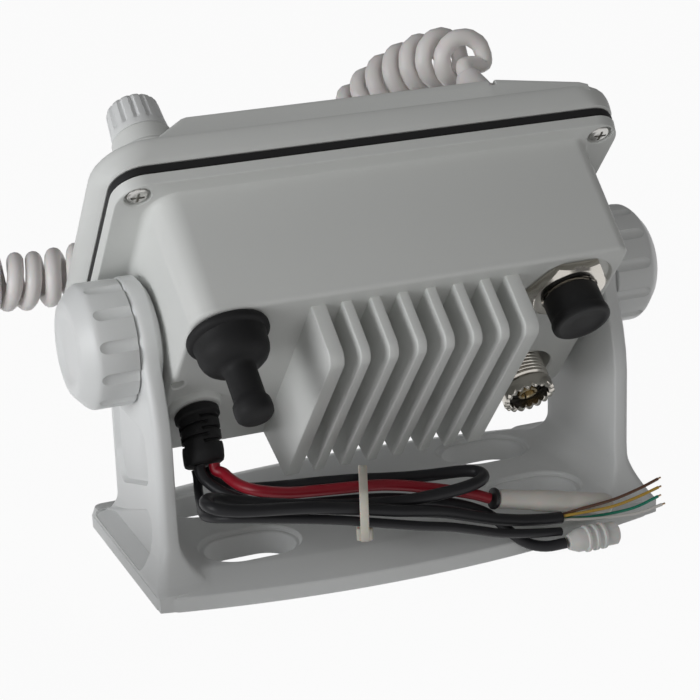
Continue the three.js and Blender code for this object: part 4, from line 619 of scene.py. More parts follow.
rearCables = {
    "face": (56.7, 35.0, -13.6), "faceSlope": -0.29, "start": 0.6, "lead": 1.7,
    "powerDiameter": 3.2, "thickDiameter": 3.5, "thinDiameter": 2.6,
    "red": [(53.1, 23, 32.9), (52.2, 26, 32.1), (50.8, 30, 31.5), (48.3, 34, 31.2), (44.2, 36.5, 30.7),
        (38.8, 37.5, 29.9), (32.6, 38, 29.4), (26.2, 38, 28.8), (19.7, 38, 28.2), (12.4, 37.5, 27.1),
        (5.6, 37.5, 25.6), (-1.8, 37.8, 23.6), (-8.5, 38, 21.6), (-14.7, 38.6, 19.6), (-19.4, 39.1, 17.6)],
    "black": [(57.6, 22, 31), (55.7, 25, 29.4), (53.2, 29, 28.4), (49.9, 33, 27.8), (44.9, 36, 27.1),
        (38.9, 37.6, 26.3), (32.8, 38, 25.7), (26.3, 38, 25), (19.9, 38, 24.3), (12.5, 37.6, 23.1), (5.7, 37.6, 21.7),
        (-1.7, 38, 19.8), (-8.5, 38.4, 17.9), (-13.8, 38.9, 15.8), (-18.2, 39.2, 13.4), (-21.8, 40, 10.4),
        (-24.9, 42, 7), (-28.6, 44.8, 4.2), (-33, 47.2, 3.4), (-38.6, 48.6, 3.9)],
    "thick": [(54.2, 17.8, 29.4), (52.2, 18.8, 27.6), (48.8, 20.8, 26.8), (44.6, 23.4, 26.9), (40, 25.8, 27.3),
        (35.3, 27.7, 27.6), (29.1, 29.2, 27.7), (23, 30, 27.4), (16.6, 30.5, 26.9), (9.4, 30.5, 25.8),
        (2.5, 30.5, 24.9), (-4.6, 30.5, 24.2), (-10.7, 30.7, 23.9), (-15.6, 31.7, 23.9), (-18.6, 34.4, 24),
        (-18, 38.4, 24.1), (-14.5, 41.8, 24.4), (-9.3, 43.6, 24.4), (-3.8, 44.4, 24.4), (1.8, 44.8, 24.4),
        (7.2, 45, 24.5), (13.3, 45, 24.9), (20.2, 45, 25.7), (27.6, 44.8, 26.8), (34.9, 44.4, 28.1),
        (42.1, 43.8, 29.4), (49.1, 42.6, 30.7), (54.9, 41, 31.8), (60.2, 40.4, 33.2), (64.2, 42.4, 34.6),
        (66, 46.4, 35.2), (64.4, 50, 34.9), (60, 51.2, 34), (53.9, 51.4, 33), (46.1, 51, 31.8), (38, 50.4, 30.3),
        (29.9, 49.3, 28.1), (22, 48.9, 26.2), (13.7, 48.8, 24.1), (5.4, 47.9, 22), (-3.1, 46, 19.2),
        (-11.5, 44.6, 15.9), (-19.8, 43.9, 13), (-27, 43.7, 11.2), (-33.8, 43.7, 10.1), (-39.6, 43.7, 9.5)],
    "thin": [(59.4, 19.4, 28.2), (60.8, 25, 26.4), (62.6, 32, 26.6), (63.6, 38.5, 28), (62.2, 43.8, 29.4),
        (58.6, 47, 29.9), (53, 48.2, 29.3), (46, 48.8, 28.1), (38, 49.4, 26.6), (29.9, 49.9, 24.9), (22, 50.2, 22.9),
        (14, 50.4, 20.8), (6, 50.2, 18.6), (-2.5, 49.2, 16.2), (-10.4, 48.2, 13.4), (-18.2, 47.5, 10.6),
        (-25.5, 47.3, 8.9), (-32.4, 47, 7.6), (-38.1, 46.2, 6.5)],
}


def leavingRelief(across, up, route):
    c = rearCables
    centre = fromCase(*c["face"])
    normal = (fromCase(0, 1, c["faceSlope"]) - fromCase(0, 0, 0)).normalized()
    upward = Vector((1, 0, 0)).cross(normal)
    start = centre + upward * up + Vector((across, 0, 0))
    return [start + normal * c["start"], start + normal * (c["start"] + c["lead"])] + [Vector(p) for p in route]


def makeRearCables():
    c = rearCables
    made = {}
    for name, side, up, key, diameter, material, node, slotName in (
        ("redPowerWire", -2.1, 2.2, "red", c["powerDiameter"], "redJacket", "red_power_wire", "red_wire"),
        ("blackPowerWire", 2.2, 2.0, "black", c["powerDiameter"], "cableJacket", "black_power_wire", "black_plastic"),
        ("thickDataCable", -2.0, -2.0, "thick", c["thickDiameter"], "cableJacket", "data_cable_thick", "black_plastic"),
        ("thinDataCable", 2.1, -2.2, "thin", c["thinDiameter"], "cableJacket", "data_cable_thin", "black_plastic"),
    ):
        route = smoothRoute(leavingRelief(side, up, c[key]), 4)
        piece = cordCurve(name, route, diameter, material)
        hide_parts(node)
        made[name] = (piece, route, diameter)
    return made


rearMade = makeRearCables()

fan = {
    "diameter": 0.9, "spread": 0.62, "seat": 0.6,
    "brown": (-1, 1, [(7, -0.2, 1.4), (17, -0.6, 2), (26, -1.4, 3.4), (32.5, -2, 5)]),
    "yellow": (1, 1, [(7, 0.6, 0.5), (17, 0.4, 0.5), (25, -0.2, 1.5), (32, -0.8, 2.9)]),
    "green": (-1, -1, [(7, -0.2, -1.4), (15, -0.2, -1.9), (23.5, 0.6, -1.2), (31, 0.8, 0.9)]),
    "white": (1, -1, [(7, 0.9, -1.5), (16, 1.2, -2.4), (24.5, 1.8, -2.5), (31.5, 2.2, -1.2)]),
}


def makeConductors():
    end = rearMade["thickDataCable"][1][-1]
    made = []
    for key in ("brown", "yellow", "green", "white"):
        side, up, path = fan[key]
        dy, dz = side * fan["spread"], up * fan["spread"]
        points = [(end.x - fan["seat"], end.y + dy, end.z + dz),
            (end.x - 2, end.y + dy * 1.1, end.z + dz * 1.1)] + [(end.x - x, end.y + y, end.z + z) for x, y, z in path]
        route = smoothRoute(points, 6)
        jacket = cordCurve(key + "Conductor", route, fan["diameter"], key + "Wire", around=2)
        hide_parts("conductor_" + key)
        # bare strands past the cut jacket
        tipRoute = [route[-1] + (route[-1] - route[-2]).normalized() * d for d in (0.0, 0.5, 1.0)]
        strand = cordCurve(key + "Strand", tipRoute, fan["diameter"] * 0.6, "copperStrand", around=1)
        made.append((jacket, route, strand))
    return made


conductors = makeConductors()
print("cords laid: curly cord", round(routeLength(micRoute)), "mm")

# rear case with its fins

rearCase = {
    "flangeFront": -21.8, "flangeRear": -18.7, "flangeHalf": 75.0, "flangeLow": -40.0, "flangeHigh": 45.6,
        "flangeCorner": 8.6, "draft": 0.4, "rim": 0.45,
    "rootHalf": 67.0, "bodyHalf": 65.1, "frontLow": -35.4, "frontHigh": 39.9, "fillet": 3.2, "corners": (7.0, 4.0, 5.0, 5.0),
    "rearHalf": 64.1, "rearFoot": 64.8, "low": -33.3, "high": 38.8, "rear": 18.6, "edge": 1.3, "wall": 3.0,
    "screwX": 68.9, "screwHigh": 40.4, "screwLow": -34.8, "screwBore": 3.75, "screwDepth": 1.6,
    "finCount": 8, "finPitch": 8.15, "outerFin": 4.3, "fin": 2.9, "finTip": 36.5, "finTop": 34.1, "finBottom": -27.2, "knee": 3.9,
}


def screwPlaces():
    c = rearCase
    return [(c["screwX"], c["screwHigh"]), (-c["screwX"], c["screwHigh"]), (-c["screwX"], c["screwLow"]), (c["screwX"], c["screwLow"])]


def makeRearCase():
    c = rearCase
    draft = c["draft"]
    rings = [caseRing(c["flangeFront"], c["flangeHalf"] + draft, c["flangeLow"] - draft, c["flangeHigh"] + draft, c["flangeCorner"])]
    # flange rim rounded towards the rear
    for i in range(5):
        a = math.pi / 2 * i / 4
        inset, back = c["rim"] * (1 - math.cos(a)), c["rim"] * math.sin(a)
        y = c["flangeRear"] - c["rim"] + back
        rings.append(caseRing(y, c["flangeHalf"] - inset, c["flangeLow"] + inset, c["flangeHigh"] - inset, c["flangeCorner"]))
    # hollow fillet from the flange to the body
    flare = c["rootHalf"] - c["bodyHalf"]
    for i in range(6):
        a = math.pi / 2 * i / 5
        out, back = flare * (1 - math.sin(a)), c["fillet"] * (1 - math.cos(a))
        rings.append(caseRing(c["flangeRear"] + back, c["bodyHalf"] + out, c["frontLow"] - out * 0.6,
            c["frontHigh"] + out * 0.6, grown(c["corners"], 0.8 + out)))
    # tapered body with a rounded rear edge
    rings.append(caseRing(0, between(c["bodyHalf"], c["rearHalf"], 0.45), between(c["frontLow"], c["low"], 0.45),
        between(c["frontHigh"], c["high"], 0.45), grown(c["corners"], 0.4),
        bottomHalf=between(c["bodyHalf"], c["rearFoot"], 0.45)))
    for i in range(5):
        a = math.pi / 2 * i / 4
        inset, back = c["edge"] * (1 - math.cos(a)), c["edge"] * math.sin(a)
        y = c["rear"] - c["edge"] + back
        rings.append(caseRing(y, c["rearHalf"] - inset, c["low"] + inset, c["high"] - inset,
            grown(c["corners"], -inset * 0.9), bottomHalf=c["rearFoot"] - inset))
    shell = pullRings("rearCaseShell", rings)
    inner = c["rearHalf"] - c["wall"]
    hollow = pullRings("hollow", [caseRing(c["flangeFront"] - 2, inner, c["low"] + c["wall"], c["high"] - c["wall"], 4),
        caseRing(c["rear"] - c["wall"], inner, c["low"] + c["wall"], c["high"] - c["wall"], 4)])
    cup = turnAlongY("cup", antenna["x"], antenna["z"], [(13.2, 8.2), (13.2, 16.4)], 48)
    carve(shell, [hollow])
    weld(shell, [cup])
    cutters = [
        turnAlongY("pocket", antenna["x"], antenna["z"], [(10.0, 11.2), (10.2, 18.2), (10.7, 18.7), (10.7, 21)], 72),
        turnAlongY("throat", antenna["x"], antenna["z"], [(7.7, 5), (7.7, 12)], 48),
        turnAlongY("nutSeat", accessory["x"], accessory["z"], [(13.2, 17.5), (13.4, 18.3), (13.8, 18.7), (13.8, 21)], 72),
        turnAlongY("barrelHole", accessory["x"], accessory["z"], [(7.3, 13), (7.3, 18)], 48),
        turnAlongY("jackHole", boot["x"], boot["z"], [(5.3, 13), (5.3, 21)], 40),
        turnAlongY("tappedHole", tapped["x"], tapped["z"],
            [(tapped["radius"] * 0.9, c["rear"] - tapped["depth"]), (tapped["radius"] * 0.9, c["rear"] - 0.4),
            (tapped["radius"] * 1.15, c["rear"] + 0.05), (tapped["radius"] * 1.2, c["rear"] + 2)], 40),
        turnAlongX("boreRight", [(3.4, 56), (3.4, 70)], 32), turnAlongX("boreLeft", [(3.4, -70), (3.4, -56)], 32),
    ]
    for x, z in screwPlaces():
        cutters.append(turnAlongY("counterbore", x, z,
            [(c["screwBore"] - 0.15, c["flangeRear"] - c["screwDepth"]), (c["screwBore"], c["flangeRear"] - 0.3),
            (c["screwBore"] + 0.3, c["flangeRear"] + 0.02), (c["screwBore"] + 0.3, c["flangeRear"] + 7)], 40))
    carve(shell, cutters)
    parts = [shell]
    outline = [(16.5, c["finTop"])]
    for i in range(7):
        a = math.pi / 2 * (1 - i / 6)
        outline.append((c["finTip"] - c["knee"] + c["knee"] * math.cos(a), c["finTop"] - c["knee"] + c["knee"] * math.sin(a)))
    outline += [(c["finTip"] + 0.1, c["finBottom"] + 0.8), (c["finTip"] - 0.5, c["finBottom"] - 0.1), (16.5, c["low"] + 0.6)]
    for i in range(c["finCount"]):
        thick = c["outerFin"] if i in (0, c["finCount"] - 1) else c["fin"]
        x = (i - (c["finCount"] - 1) / 2) * c["finPitch"]
        parts.append(slabYZ("fin", outline, x - thick / 2, x + thick / 2, 0.45))
    # boss under the power relief, bosses beside the pivot
    parts.append(turnAlongY("reliefBoss", relief["x"], relief["z"], [(7.9, 17.2), (7.9, 18.6), (7.4, 19.8), (7.1, 20.3), (6.6, 20.5)], 56))
    for side in (1, -1):
        boss = turnAlongX("pivotBoss", [(11.6, side * 62.5), (11.9, side * 64.7), (11.6, side * 65.0)], 56)
        parts.append(carve(boss, [turnAlongX("bore", [(3.4, side * 60), (3.4, side * 70)], 32)]))
        parts.append(carve(turnAlongX("innerBoss", [(8, side * 53.3), (8, side * 61.5)], 32),
            [turnAlongX("bore", [(3.4, side * 56), (3.4, side * 70)], 32)]))
    return settle(gather(parts), "rearCaseShell", "radio", "casePaint", "rear_case", smooth=28)


antenna = {"x": -48.4, "z": -21.9, "radius": 7.95, "root": 7.35, "end": 28.4, "threadStart": 12.9, "pitch": 1.08,
    "ridges": 10, "bore": 6.2, "teeth": 18, "tooth": 0.9}
accessory = {"x": -49.0, "z": 23.1, "apothem": 11.0, "seat": 17.8, "face": 21.0}
boot = {"x": 53.2, "z": 28.2}
relief = {"x": 55.6, "z": -9.4}
tapped = {"x": 62.4, "z": 3.6, "radius": 2.1, "depth": 1.9}

makeRearCase()
print("rear case made")


def makeScrews():
    c = {"seat": -20.0, "head": 3.1, "height": 1.5, "shank": 1.5, "length": 11.0, "cross": 0.38, "crossReach": 1.9}
    for i, (x, z) in enumerate(screwPlaces()):
        top = c["seat"] + c["height"]
        head = turnAlongY("screw", x, z, [(c["shank"], c["seat"] - c["length"]), (c["shank"], c["seat"]),
            (c["head"], c["seat"]), (c["head"], c["seat"] + 0.5), (c["head"] * 0.93, c["seat"] + 0.95),
            (c["head"] * 0.72, top - 0.12), (c["head"] * 0.4, top)], 40)
        bars = []
        for w, h in ((c["cross"], c["crossReach"]), (c["crossReach"], c["cross"])):
            bars.append(slabXZ("bar", [(x - w, z - h), (x + w, z - h), (x + w, z + h), (x - w, z + h)], top - 1.0, top + 1))
        carve(head, bars)
        settle(head, "caseScrew" + str(i + 1), "radio", "screwSteel", "case_screw_" + str(i + 1), smooth=40)


makeScrews()


def makeGasket():
    c = {"rear": -22.1, "front": -24.2, "half": 75.2, "low": -41.9, "high": 46.3, "corner": 8.9, "width": 11.5, "height": 5.5}
    band = pullRings("gasket", [caseRing(c["front"], c["half"], c["low"], c["high"], c["corner"]),
        caseRing((c["front"] + c["rear"]) / 2, c["half"] + 0.12, c["low"] - 0.1, c["high"] + 0.1, c["corner"]),
        caseRing(c["rear"], c["half"], c["low"], c["high"], c["corner"])])
    inner = [caseRing(y, c["half"] - c["width"], c["low"] + c["height"], c["high"] - c["height"], c["corner"])
        for y in (c["front"] - 2, c["rear"] + 2)]
    carve(band, [pullRings("inner", inner)] + [turnAlongY("hole", x, z, [(1.9, c["front"] - 2), (1.9, c["rear"] + 2)],
        24) for x, z in screwPlaces()])
    settle(band, "gasketBand", "radio", "gasketRubber", "case_gasket")


makeGasket()

# front bezel

bezel = {
    "rear": -24.5, "rearHalf": 75.7, "half": 78.3, "high": 47.8, "low": -42.4, "rearCorner": 9.5, "corner": 15.0,
        "flare": 5.6, "front": -32.5, "edge": 1.9, "wall": 2.4,
    "panelFront": -38.0, "panelHigh": 47.4, "panelLow": -38.0,
    "panel": [(60.8, -30), (60.8, -32.5), (52.6, -37.6), (51, -38), (-40.0, -38), (-41.4, -37.9), (-66, -33.6),
        (-68.4, -32.5), (-68.4, -30)],
    "hollow": [(52, -27.7), (49.6, -35.6), (-40.6, -35.6), (-61.2, -31.2), (-61.2, -27.7)],
}
display = {"x": 12.0, "z": 14.0, "width": 50.0, "height": 36.0}
speaker = {"x": -35.0, "z": -10.0, "radius": 17.0, "slots": 7, "slotHeight": 2.2, "pitch": 4.4}
keys = {"count": 4, "x": -13.0, "pitch": 13.5, "z": -18.0, "width": 10.0, "height": 6.0}
distress = {"x": 42.0, "z": -19.0, "width": 12.0, "height": 8.0}
channel = {"x": 62.0, "z": 38.4, "skirt": 8.5, "skirtEnd": -38.6, "radius": 7.9, "tip": 7.3, "height": 10.8, "flutes": 14}
volume = {"x": 50.5, "z": 6.0, "skirt": 8.5, "skirtEnd": -39.2, "radius": 7.6, "tip": 7.0, "height": 9.6, "flutes": 14}
cordRelief = {"x": -38.0, "z": 38.5}


def centredBox(x, z, width, height, radius, steps=5):
    return roundedBox(x - width / 2, x + width / 2, z - height / 2, z + height / 2, radius, steps)


def makeBezel():
    c = bezel
    rings = [caseRing(c["rear"], c["rearHalf"] - 0.4, c["low"] + 0.9, c["high"] - 1.4, c["rearCorner"] - 0.4),
        caseRing(c["rear"] - 0.5, c["rearHalf"] + 0.1, c["low"] + 0.4, c["high"] - 0.9, c["rearCorner"])]
    for i in range(1, 7):
        t = i / 6
        grow = 1 - (1 - t) ** 2
        rings.append(caseRing(c["rear"] - 0.5 - (c["flare"] - 0.5) * t, between(c["rearHalf"] + 0.1, c["half"], grow),
            between(c["low"] + 0.4, c["low"] - 0.5, grow), between(c["high"] - 0.9, c["high"], grow),
            between(c["rearCorner"], c["corner"], grow)))
    for i in range(1, 6):
        a = math.pi / 2 * i / 5
        inset, forward = c["edge"] * (1 - math.cos(a)), c["edge"] * math.sin(a)
        rings.append(caseRing(c["front"] + c["edge"] - forward, c["half"] - inset, c["low"] - 0.5 + inset,
            c["high"] - inset * 0.6, c["corner"] - inset * 0.5))
    plate = pullRings("plate", rings)
    inset = 12.0
    carve(plate, [pullRings("plateHollow", [caseRing(c["front"] + c["wall"], c["half"] - inset, c["low"] + 6,
        c["high"] - 4.6, 2), caseRing(c["rear"] + 3, c["half"] - inset, c["low"] + 6, c["high"] - 4.6, 2)])])
    raised = slabXY("raised", c["panel"], c["panelLow"], c["panelHigh"], 1.0)
    weld(plate, [raised])
    carve(plate, [slabXY("panelHollow", c["hollow"], c["panelLow"] + c["wall"], c["panelHigh"] - c["wall"])])
    bosses = [turnAlongY("cordBoss", cordRelief["x"], cordRelief["z"], [(9, -30.1), (9, -35.9)], 40)]
    for knob in (channel, volume):
        bosses.append(turnAlongY("knobBoss", knob["x"], knob["z"],
            [(knob["skirt"] + 0.5, -30.5), (knob["skirt"] + 0.5, -32.6), (knob["skirt"], -33.4),
            (knob["skirt"] - 0.1, knob["skirtEnd"] + 0.5), (knob["skirt"] - 0.5, knob["skirtEnd"])], 56))
    weld(plate, bosses)
    front, through = c["panelFront"] - 2, -27.7
    cutters = [
        slabXZ("windowSeat", centredBox(display["x"], display["z"], display["width"], display["height"], 3), front, c["panelFront"] + 1.3),
        slabXZ("windowHole", centredBox(display["x"], display["z"], display["width"] - 4, display["height"] - 4, 2), front, through),
        slabXZ("distressHole", centredBox(distress["x"], distress["z"], distress["width"] + 0.8,
            distress["height"] + 0.8, 1.8), front, through),
        turnAlongY("cordSeat", cordRelief["x"], cordRelief["z"], [(6.9, front - 2), (6.9, c["panelFront"] + 2.2)], 48),
        turnAlongY("cordHole", cordRelief["x"], cordRelief["z"], [(3.4, front), (3.4, c["rear"])], 32),
        slabXZ("notch", [(-40.6, 44.0), (-38.2, 44.0), (-38.2, 50), (-40.6, 50)], front, c["panelFront"] + 2.2),
    ]
    for i in range(speaker["slots"]):
        z = speaker["z"] + (i - (speaker["slots"] - 1) / 2) * speaker["pitch"]
        half = math.sqrt(speaker["radius"] ** 2 - (z - speaker["z"]) ** 2) - speaker["slotHeight"]
        cutters.append(slabXZ("slot", centredBox(speaker["x"], z, half * 2, speaker["slotHeight"], 1.05, 4), front, through))
    for i in range(keys["count"]):
        cutters.append(slabXZ("keyHole", centredBox(keys["x"] + i * keys["pitch"], keys["z"], keys["width"] + 0.8,
            keys["height"] + 0.8, 1.8), front, through))
    for knob in (channel, volume):
        cutters.append(turnAlongY("shaftHole", knob["x"], knob["z"], [(3.4, knob["skirtEnd"] - 2), (3.4, c["rear"])], 32))
    for x, z in screwPlaces():
        cutters.append(turnAlongY("screwHole", x, z, [(1.9, c["rear"] - 8), (1.9, c["rear"] + 2)], 24))
    carve(plate, cutters)
    posts = [turnAlongY("post", x, z, [(2.2, -36.8), (2.2, -23.9)], 24) for x, z in ((-49.5, 27), (-49.5, -24.6), (46.5, 27), (30, -25.4))]
    settle(gather([plate] + posts), "bezelShell", "radio", "casePaint", "front_bezel", smooth=28)


makeBezel()
print("bezel made")


def flutedRing(knob, y, radius, depth):
    count = knob["flutes"] * 8
    ring = []
    for i in range(count):
        a = 2 * math.pi * i / count
        dip = max(0.0, math.cos(knob["flutes"] * a)) ** 1.6
        r = radius - depth * dip
        ring.append(Vector((knob["x"] + r * math.cos(a), y, knob["z"] + r * math.sin(a))))
    return ring


def makeKnob(knob, name, body, node):
    start = knob["skirtEnd"] - 0.3
    h = knob["height"]
    rings = [flutedRing(knob, start, knob["radius"] - 0.3, 0.0), flutedRing(knob, start - 0.3, knob["radius"], 0.0),
        flutedRing(knob, start - h * 0.16, knob["radius"], 0.02)]
    rings += [flutedRing(knob, start - h * 0.2, knob["radius"] - 0.12, 0.45), flutedRing(knob, start - h * 0.27, knob["radius"] - 0.2, 0.9)]
    rings += [flutedRing(knob, start - h * 0.82, knob["tip"], 0.9),
        flutedRing(knob, start - h * 0.9, knob["tip"] - 0.35, 0.75),
        flutedRing(knob, start - h * 0.955, knob["tip"] - 0.95, 0.35),
        flutedRing(knob, start - h * 0.985, knob["tip"] - 1.9, 0.08),
        flutedRing(knob, start - h, knob["tip"] - 3.2, 0.0), flutedRing(knob, start - h, 0.6, 0.0)]
    piece = pullRings("knob", rings)
    carve(piece, [turnAlongY("bore", knob["x"], knob["z"], [(3.3, start + 2), (3.3, start - h * 0.6)], 32)])
    settle(piece, name, body, "knobPlastic", node, smooth=40)


makeKnob(channel, "channelKnob", "channel", "channel_knob")
makeKnob(volume, "volumeKnob", "volume", "volume_knob")


def makeCordRelief():
    c = cordRelief
    piece = turnAlongY("relief", c["x"], c["z"], [(6.3, -36.1), (6.6, -36.4), (6.6, -38.6), (6.3, -39.1), (5.7, -39.5),
        (5.35, -40.6), (4.9, -42), (4.2, -44), (3.6, -46), (3.2, -46.7), (2.8, -46.8)], 48)
    settle(piece, "cordReliefSleeve", "radio", "cordVinyl", "cord_strain_relief")


makeCordRelief()


def makeFrontPieces():
    inside = bezel["panelFront"] + bezel["wall"]
    glassPane = slabXZ("pane", centredBox(display["x"], display["z"], display["width"] - 0.8, display["height"] - 0.8,
        2.2), bezel["panelFront"], bezel["panelFront"] + 1.0, 0.25)
    settle(glassPane, "displayPane", "radio", "displayGlass", "display_window")
    for i in range(keys["count"]):
        x = keys["x"] + i * keys["pitch"]
        cap = slabXZ("cap", centredBox(x, keys["z"], keys["width"], keys["height"], 1.5), bezel["panelFront"] - 1.0, inside + 0.6, 0.5)
        foot = slabXZ("foot", centredBox(x, keys["z"], keys["width"] + 2, keys["height"] + 2, 1.8), inside + 0.3, inside + 1.1)
        settle(weld(cap, [foot]), "keyCap" + str(i + 1), "key" + str(i + 1), "keyGrey", "key_" + str(i + 1))
    cap = slabXZ("cap", centredBox(distress["x"], distress["z"], distress["width"], distress["height"], 1.5),
        bezel["panelFront"], inside + 0.6, 0.5)
    foot = slabXZ("foot", centredBox(distress["x"], distress["z"], distress["width"] + 2, distress["height"] + 2, 1.8),
        inside + 0.3, inside + 1.1)
    settle(weld(cap, [foot]), "distressCap", "distress", "alarmRed", "distress_key")
    w, h = distress["width"] + 4, distress["height"] + 4
    rear = bezel["panelFront"] - 0.7
    lid = slabXZ("lid", centredBox(distress["x"], distress["z"], w, h, 1.8), rear - 1.4, rear, 0.4)
    barrel = turnAlongX("barrel", [(0.9, distress["x"] - w / 2), (1.2, distress["x"] - w / 2 + 0.3),
        (1.2, distress["x"] + w / 2 - 0.3), (0.9, distress["x"] + w / 2)], 24, y=bezel["panelFront"] - 1.5,
        z=distress["z"] + h / 2)
    settle(weld(lid, [barrel]), "distressLid", "flap", "alarmRed", "distress_flap")


makeFrontPieces()
print("front made")

# what stands on the rear


def makeAntennaSocket():
    c = antenna
    sides = c["teeth"] * 5
    profile = [(6.6, 8.4), (7.3, 8.4), (7.3, 11.5), (9.4, 11.5), (9.4, 12.3), (7.4, 12.5)]
    for i in range(c["ridges"]):
        y = c["threadStart"] + i * c["pitch"]
        profile += [(c["root"], y), (c["radius"] - 0.08, y + c["pitch"] * 0.38), (c["radius"] - 0.08, y + c["pitch"] * 0.6)]
    profile += [(c["root"], c["threadStart"] + c["ridges"] * c["pitch"] + 0.1), (c["radius"] - 0.1, 24.6),
        (c["radius"], 24.9), (c["radius"], 27.2)]
    rings = [circleAlongY(c["x"], c["z"], r, y, sides) for r, y in profile]

    def toothed(radius, y):
        ring = circleAlongY(c["x"], c["z"], radius, y, sides)
        for i, p in enumerate(ring):
            p.y -= c["tooth"] * (1.0 if i % 5 == 0 else 0.35 if i % 5 in (1, 4) else 0.0)
        return ring

    rings += [toothed(c["radius"], c["end"] - 0.1), toothed(c["radius"] - 0.25, c["end"]),
        toothed(c["bore"] + 0.2, c["end"]), toothed(c["bore"], c["end"] - 0.15)]
    rings += [circleAlongY(c["x"], c["z"], c["bore"], 26.5, sides), circleAlongY(c["x"], c["z"], c["bore"], 14, sides)]
    socket = pullRings("socket", rings)
    settle(socket, "antennaCollar", "radio", "nickelPlate", "antenna_socket", smooth=30)
    insulator = turnAlongY("insulator", c["x"], c["z"],
        [(5.9, 8.4), (5.9, 24.4), (5.6, 24.7), (5.0, 24.7), (4.8, 24.2), (4.4, 24.2), (4.2, 24.9), (3.4, 24.9)], 56)
    settle(carve(insulator, [turnAlongY("bore", c["x"], c["z"], [(3.3, 7), (3.3, 27)], 40)]), "antennaInsert", "radio",
        "hardBlack", "antenna_insulator")
    contact = turnAlongY("contact", c["x"], c["z"],
        [(2.6, 8.4), (3.1, 8.8), (3.1, 26.4), (2.9, 26.9), (2.2, 26.9), (2.0, 26.5), (2.0, 19)], 40)
    saws = [slabXZ("saw", [(c["x"] - w, c["z"] - h), (c["x"] + w, c["z"] - h), (c["x"] + w, c["z"] + h),
        (c["x"] - w, c["z"] + h)], 21, 28) for w, h in ((0.25, 4), (4, 0.25))]
    settle(carve(contact, saws), "antennaContact", "radio", "contactMetal", "antenna_contact")


makeAntennaSocket()


def makeNutAndCap():
    c = accessory
    sides = 72

    def hexRing(y, limit=99.0, chamfer=0.0):
        ring = []
        for i in range(sides):
            a = 2 * math.pi * i / sides
            flat = c["apothem"] / math.cos((a % (math.pi / 3)) - math.pi / 6)
            r = min(flat, limit)
            drop = chamfer * max(0.0, flat - c["apothem"] * 0.985)
            ring.append(Vector((c["x"] + r * math.cos(a), y - drop, c["z"] + r * math.sin(a))))
        return ring

    rings = [hexRing(c["seat"]), hexRing(c["face"] - 0.5, chamfer=0.55),
        hexRing(c["face"] - 0.1, limit=c["apothem"] * 0.985), hexRing(c["face"], limit=c["apothem"] * 0.955),
        hexRing(c["face"], limit=8.4), hexRing(c["face"] - 0.7, limit=7.6), hexRing(c["face"] - 0.7, limit=7.35)]
    nut = pullRings("nut", rings)
    carve(nut, [turnAlongY("bore", c["x"], c["z"], [(7.3, c["seat"] - 2), (7.3, c["face"] + 2)], 56)])
    settle(nut, "connectorNut", "radio", "nickelPlate", "accessory_nut", smooth=25)
    cap = turnAlongY("cap", c["x"], c["z"], [(7.4, 21.6), (7.9, 21.65), (8.1, 21.9), (8.1, 28.0), (8.15, 28.4),
        (8.4, 28.9), (8.5, 29.3), (8.5, 30.4), (8.35, 30.9), (8.0, 31.2), (7.5, 31.3), (6.6, 31.25), (6.3, 31.05),
        (3, 31.0)], 72)
    carve(cap, [turnAlongY("bore", c["x"], c["z"], [(7.3, 20), (7.3, 26.3)], 56)])
    settle(cap, "connectorCap", "cap", "softRubber", "dust_cap", smooth=40)


makeNutAndCap()


def makeBoot():
    profile = [(10.8, 18.9), (11.2, 19.1), (11.4, 19.6), (11.4, 20.5), (11.2, 21.0), (10.7, 21.35), (10.1, 21.6),
        (9.85, 22.1), (9.85, 24.2), (9.75, 25.6), (9.35, 27.0), (8.6, 28.2), (7.4, 29.2), (6.0, 29.85), (5.0, 30.2),
        (4.5, 30.9), (4.4, 32), (4.4, 39.4), (4.6, 40.1), (5.1, 40.9), (5.25, 41.9), (5.25, 43.5), (5.0, 44.7),
        (4.3, 45.5), (3.1, 46.0), (1.2, 46.0)]
    piece = turnAlongY("boot", boot["x"], boot["z"], profile, 64)
    carve(piece, [turnAlongY("bore", boot["x"], boot["z"], [(5.3, 17), (5.3, 24.9)], 40)])
    settle(piece, "rubberBoot", "boot", "softRubber", "accessory_boot", smooth=40)


makeBoot()


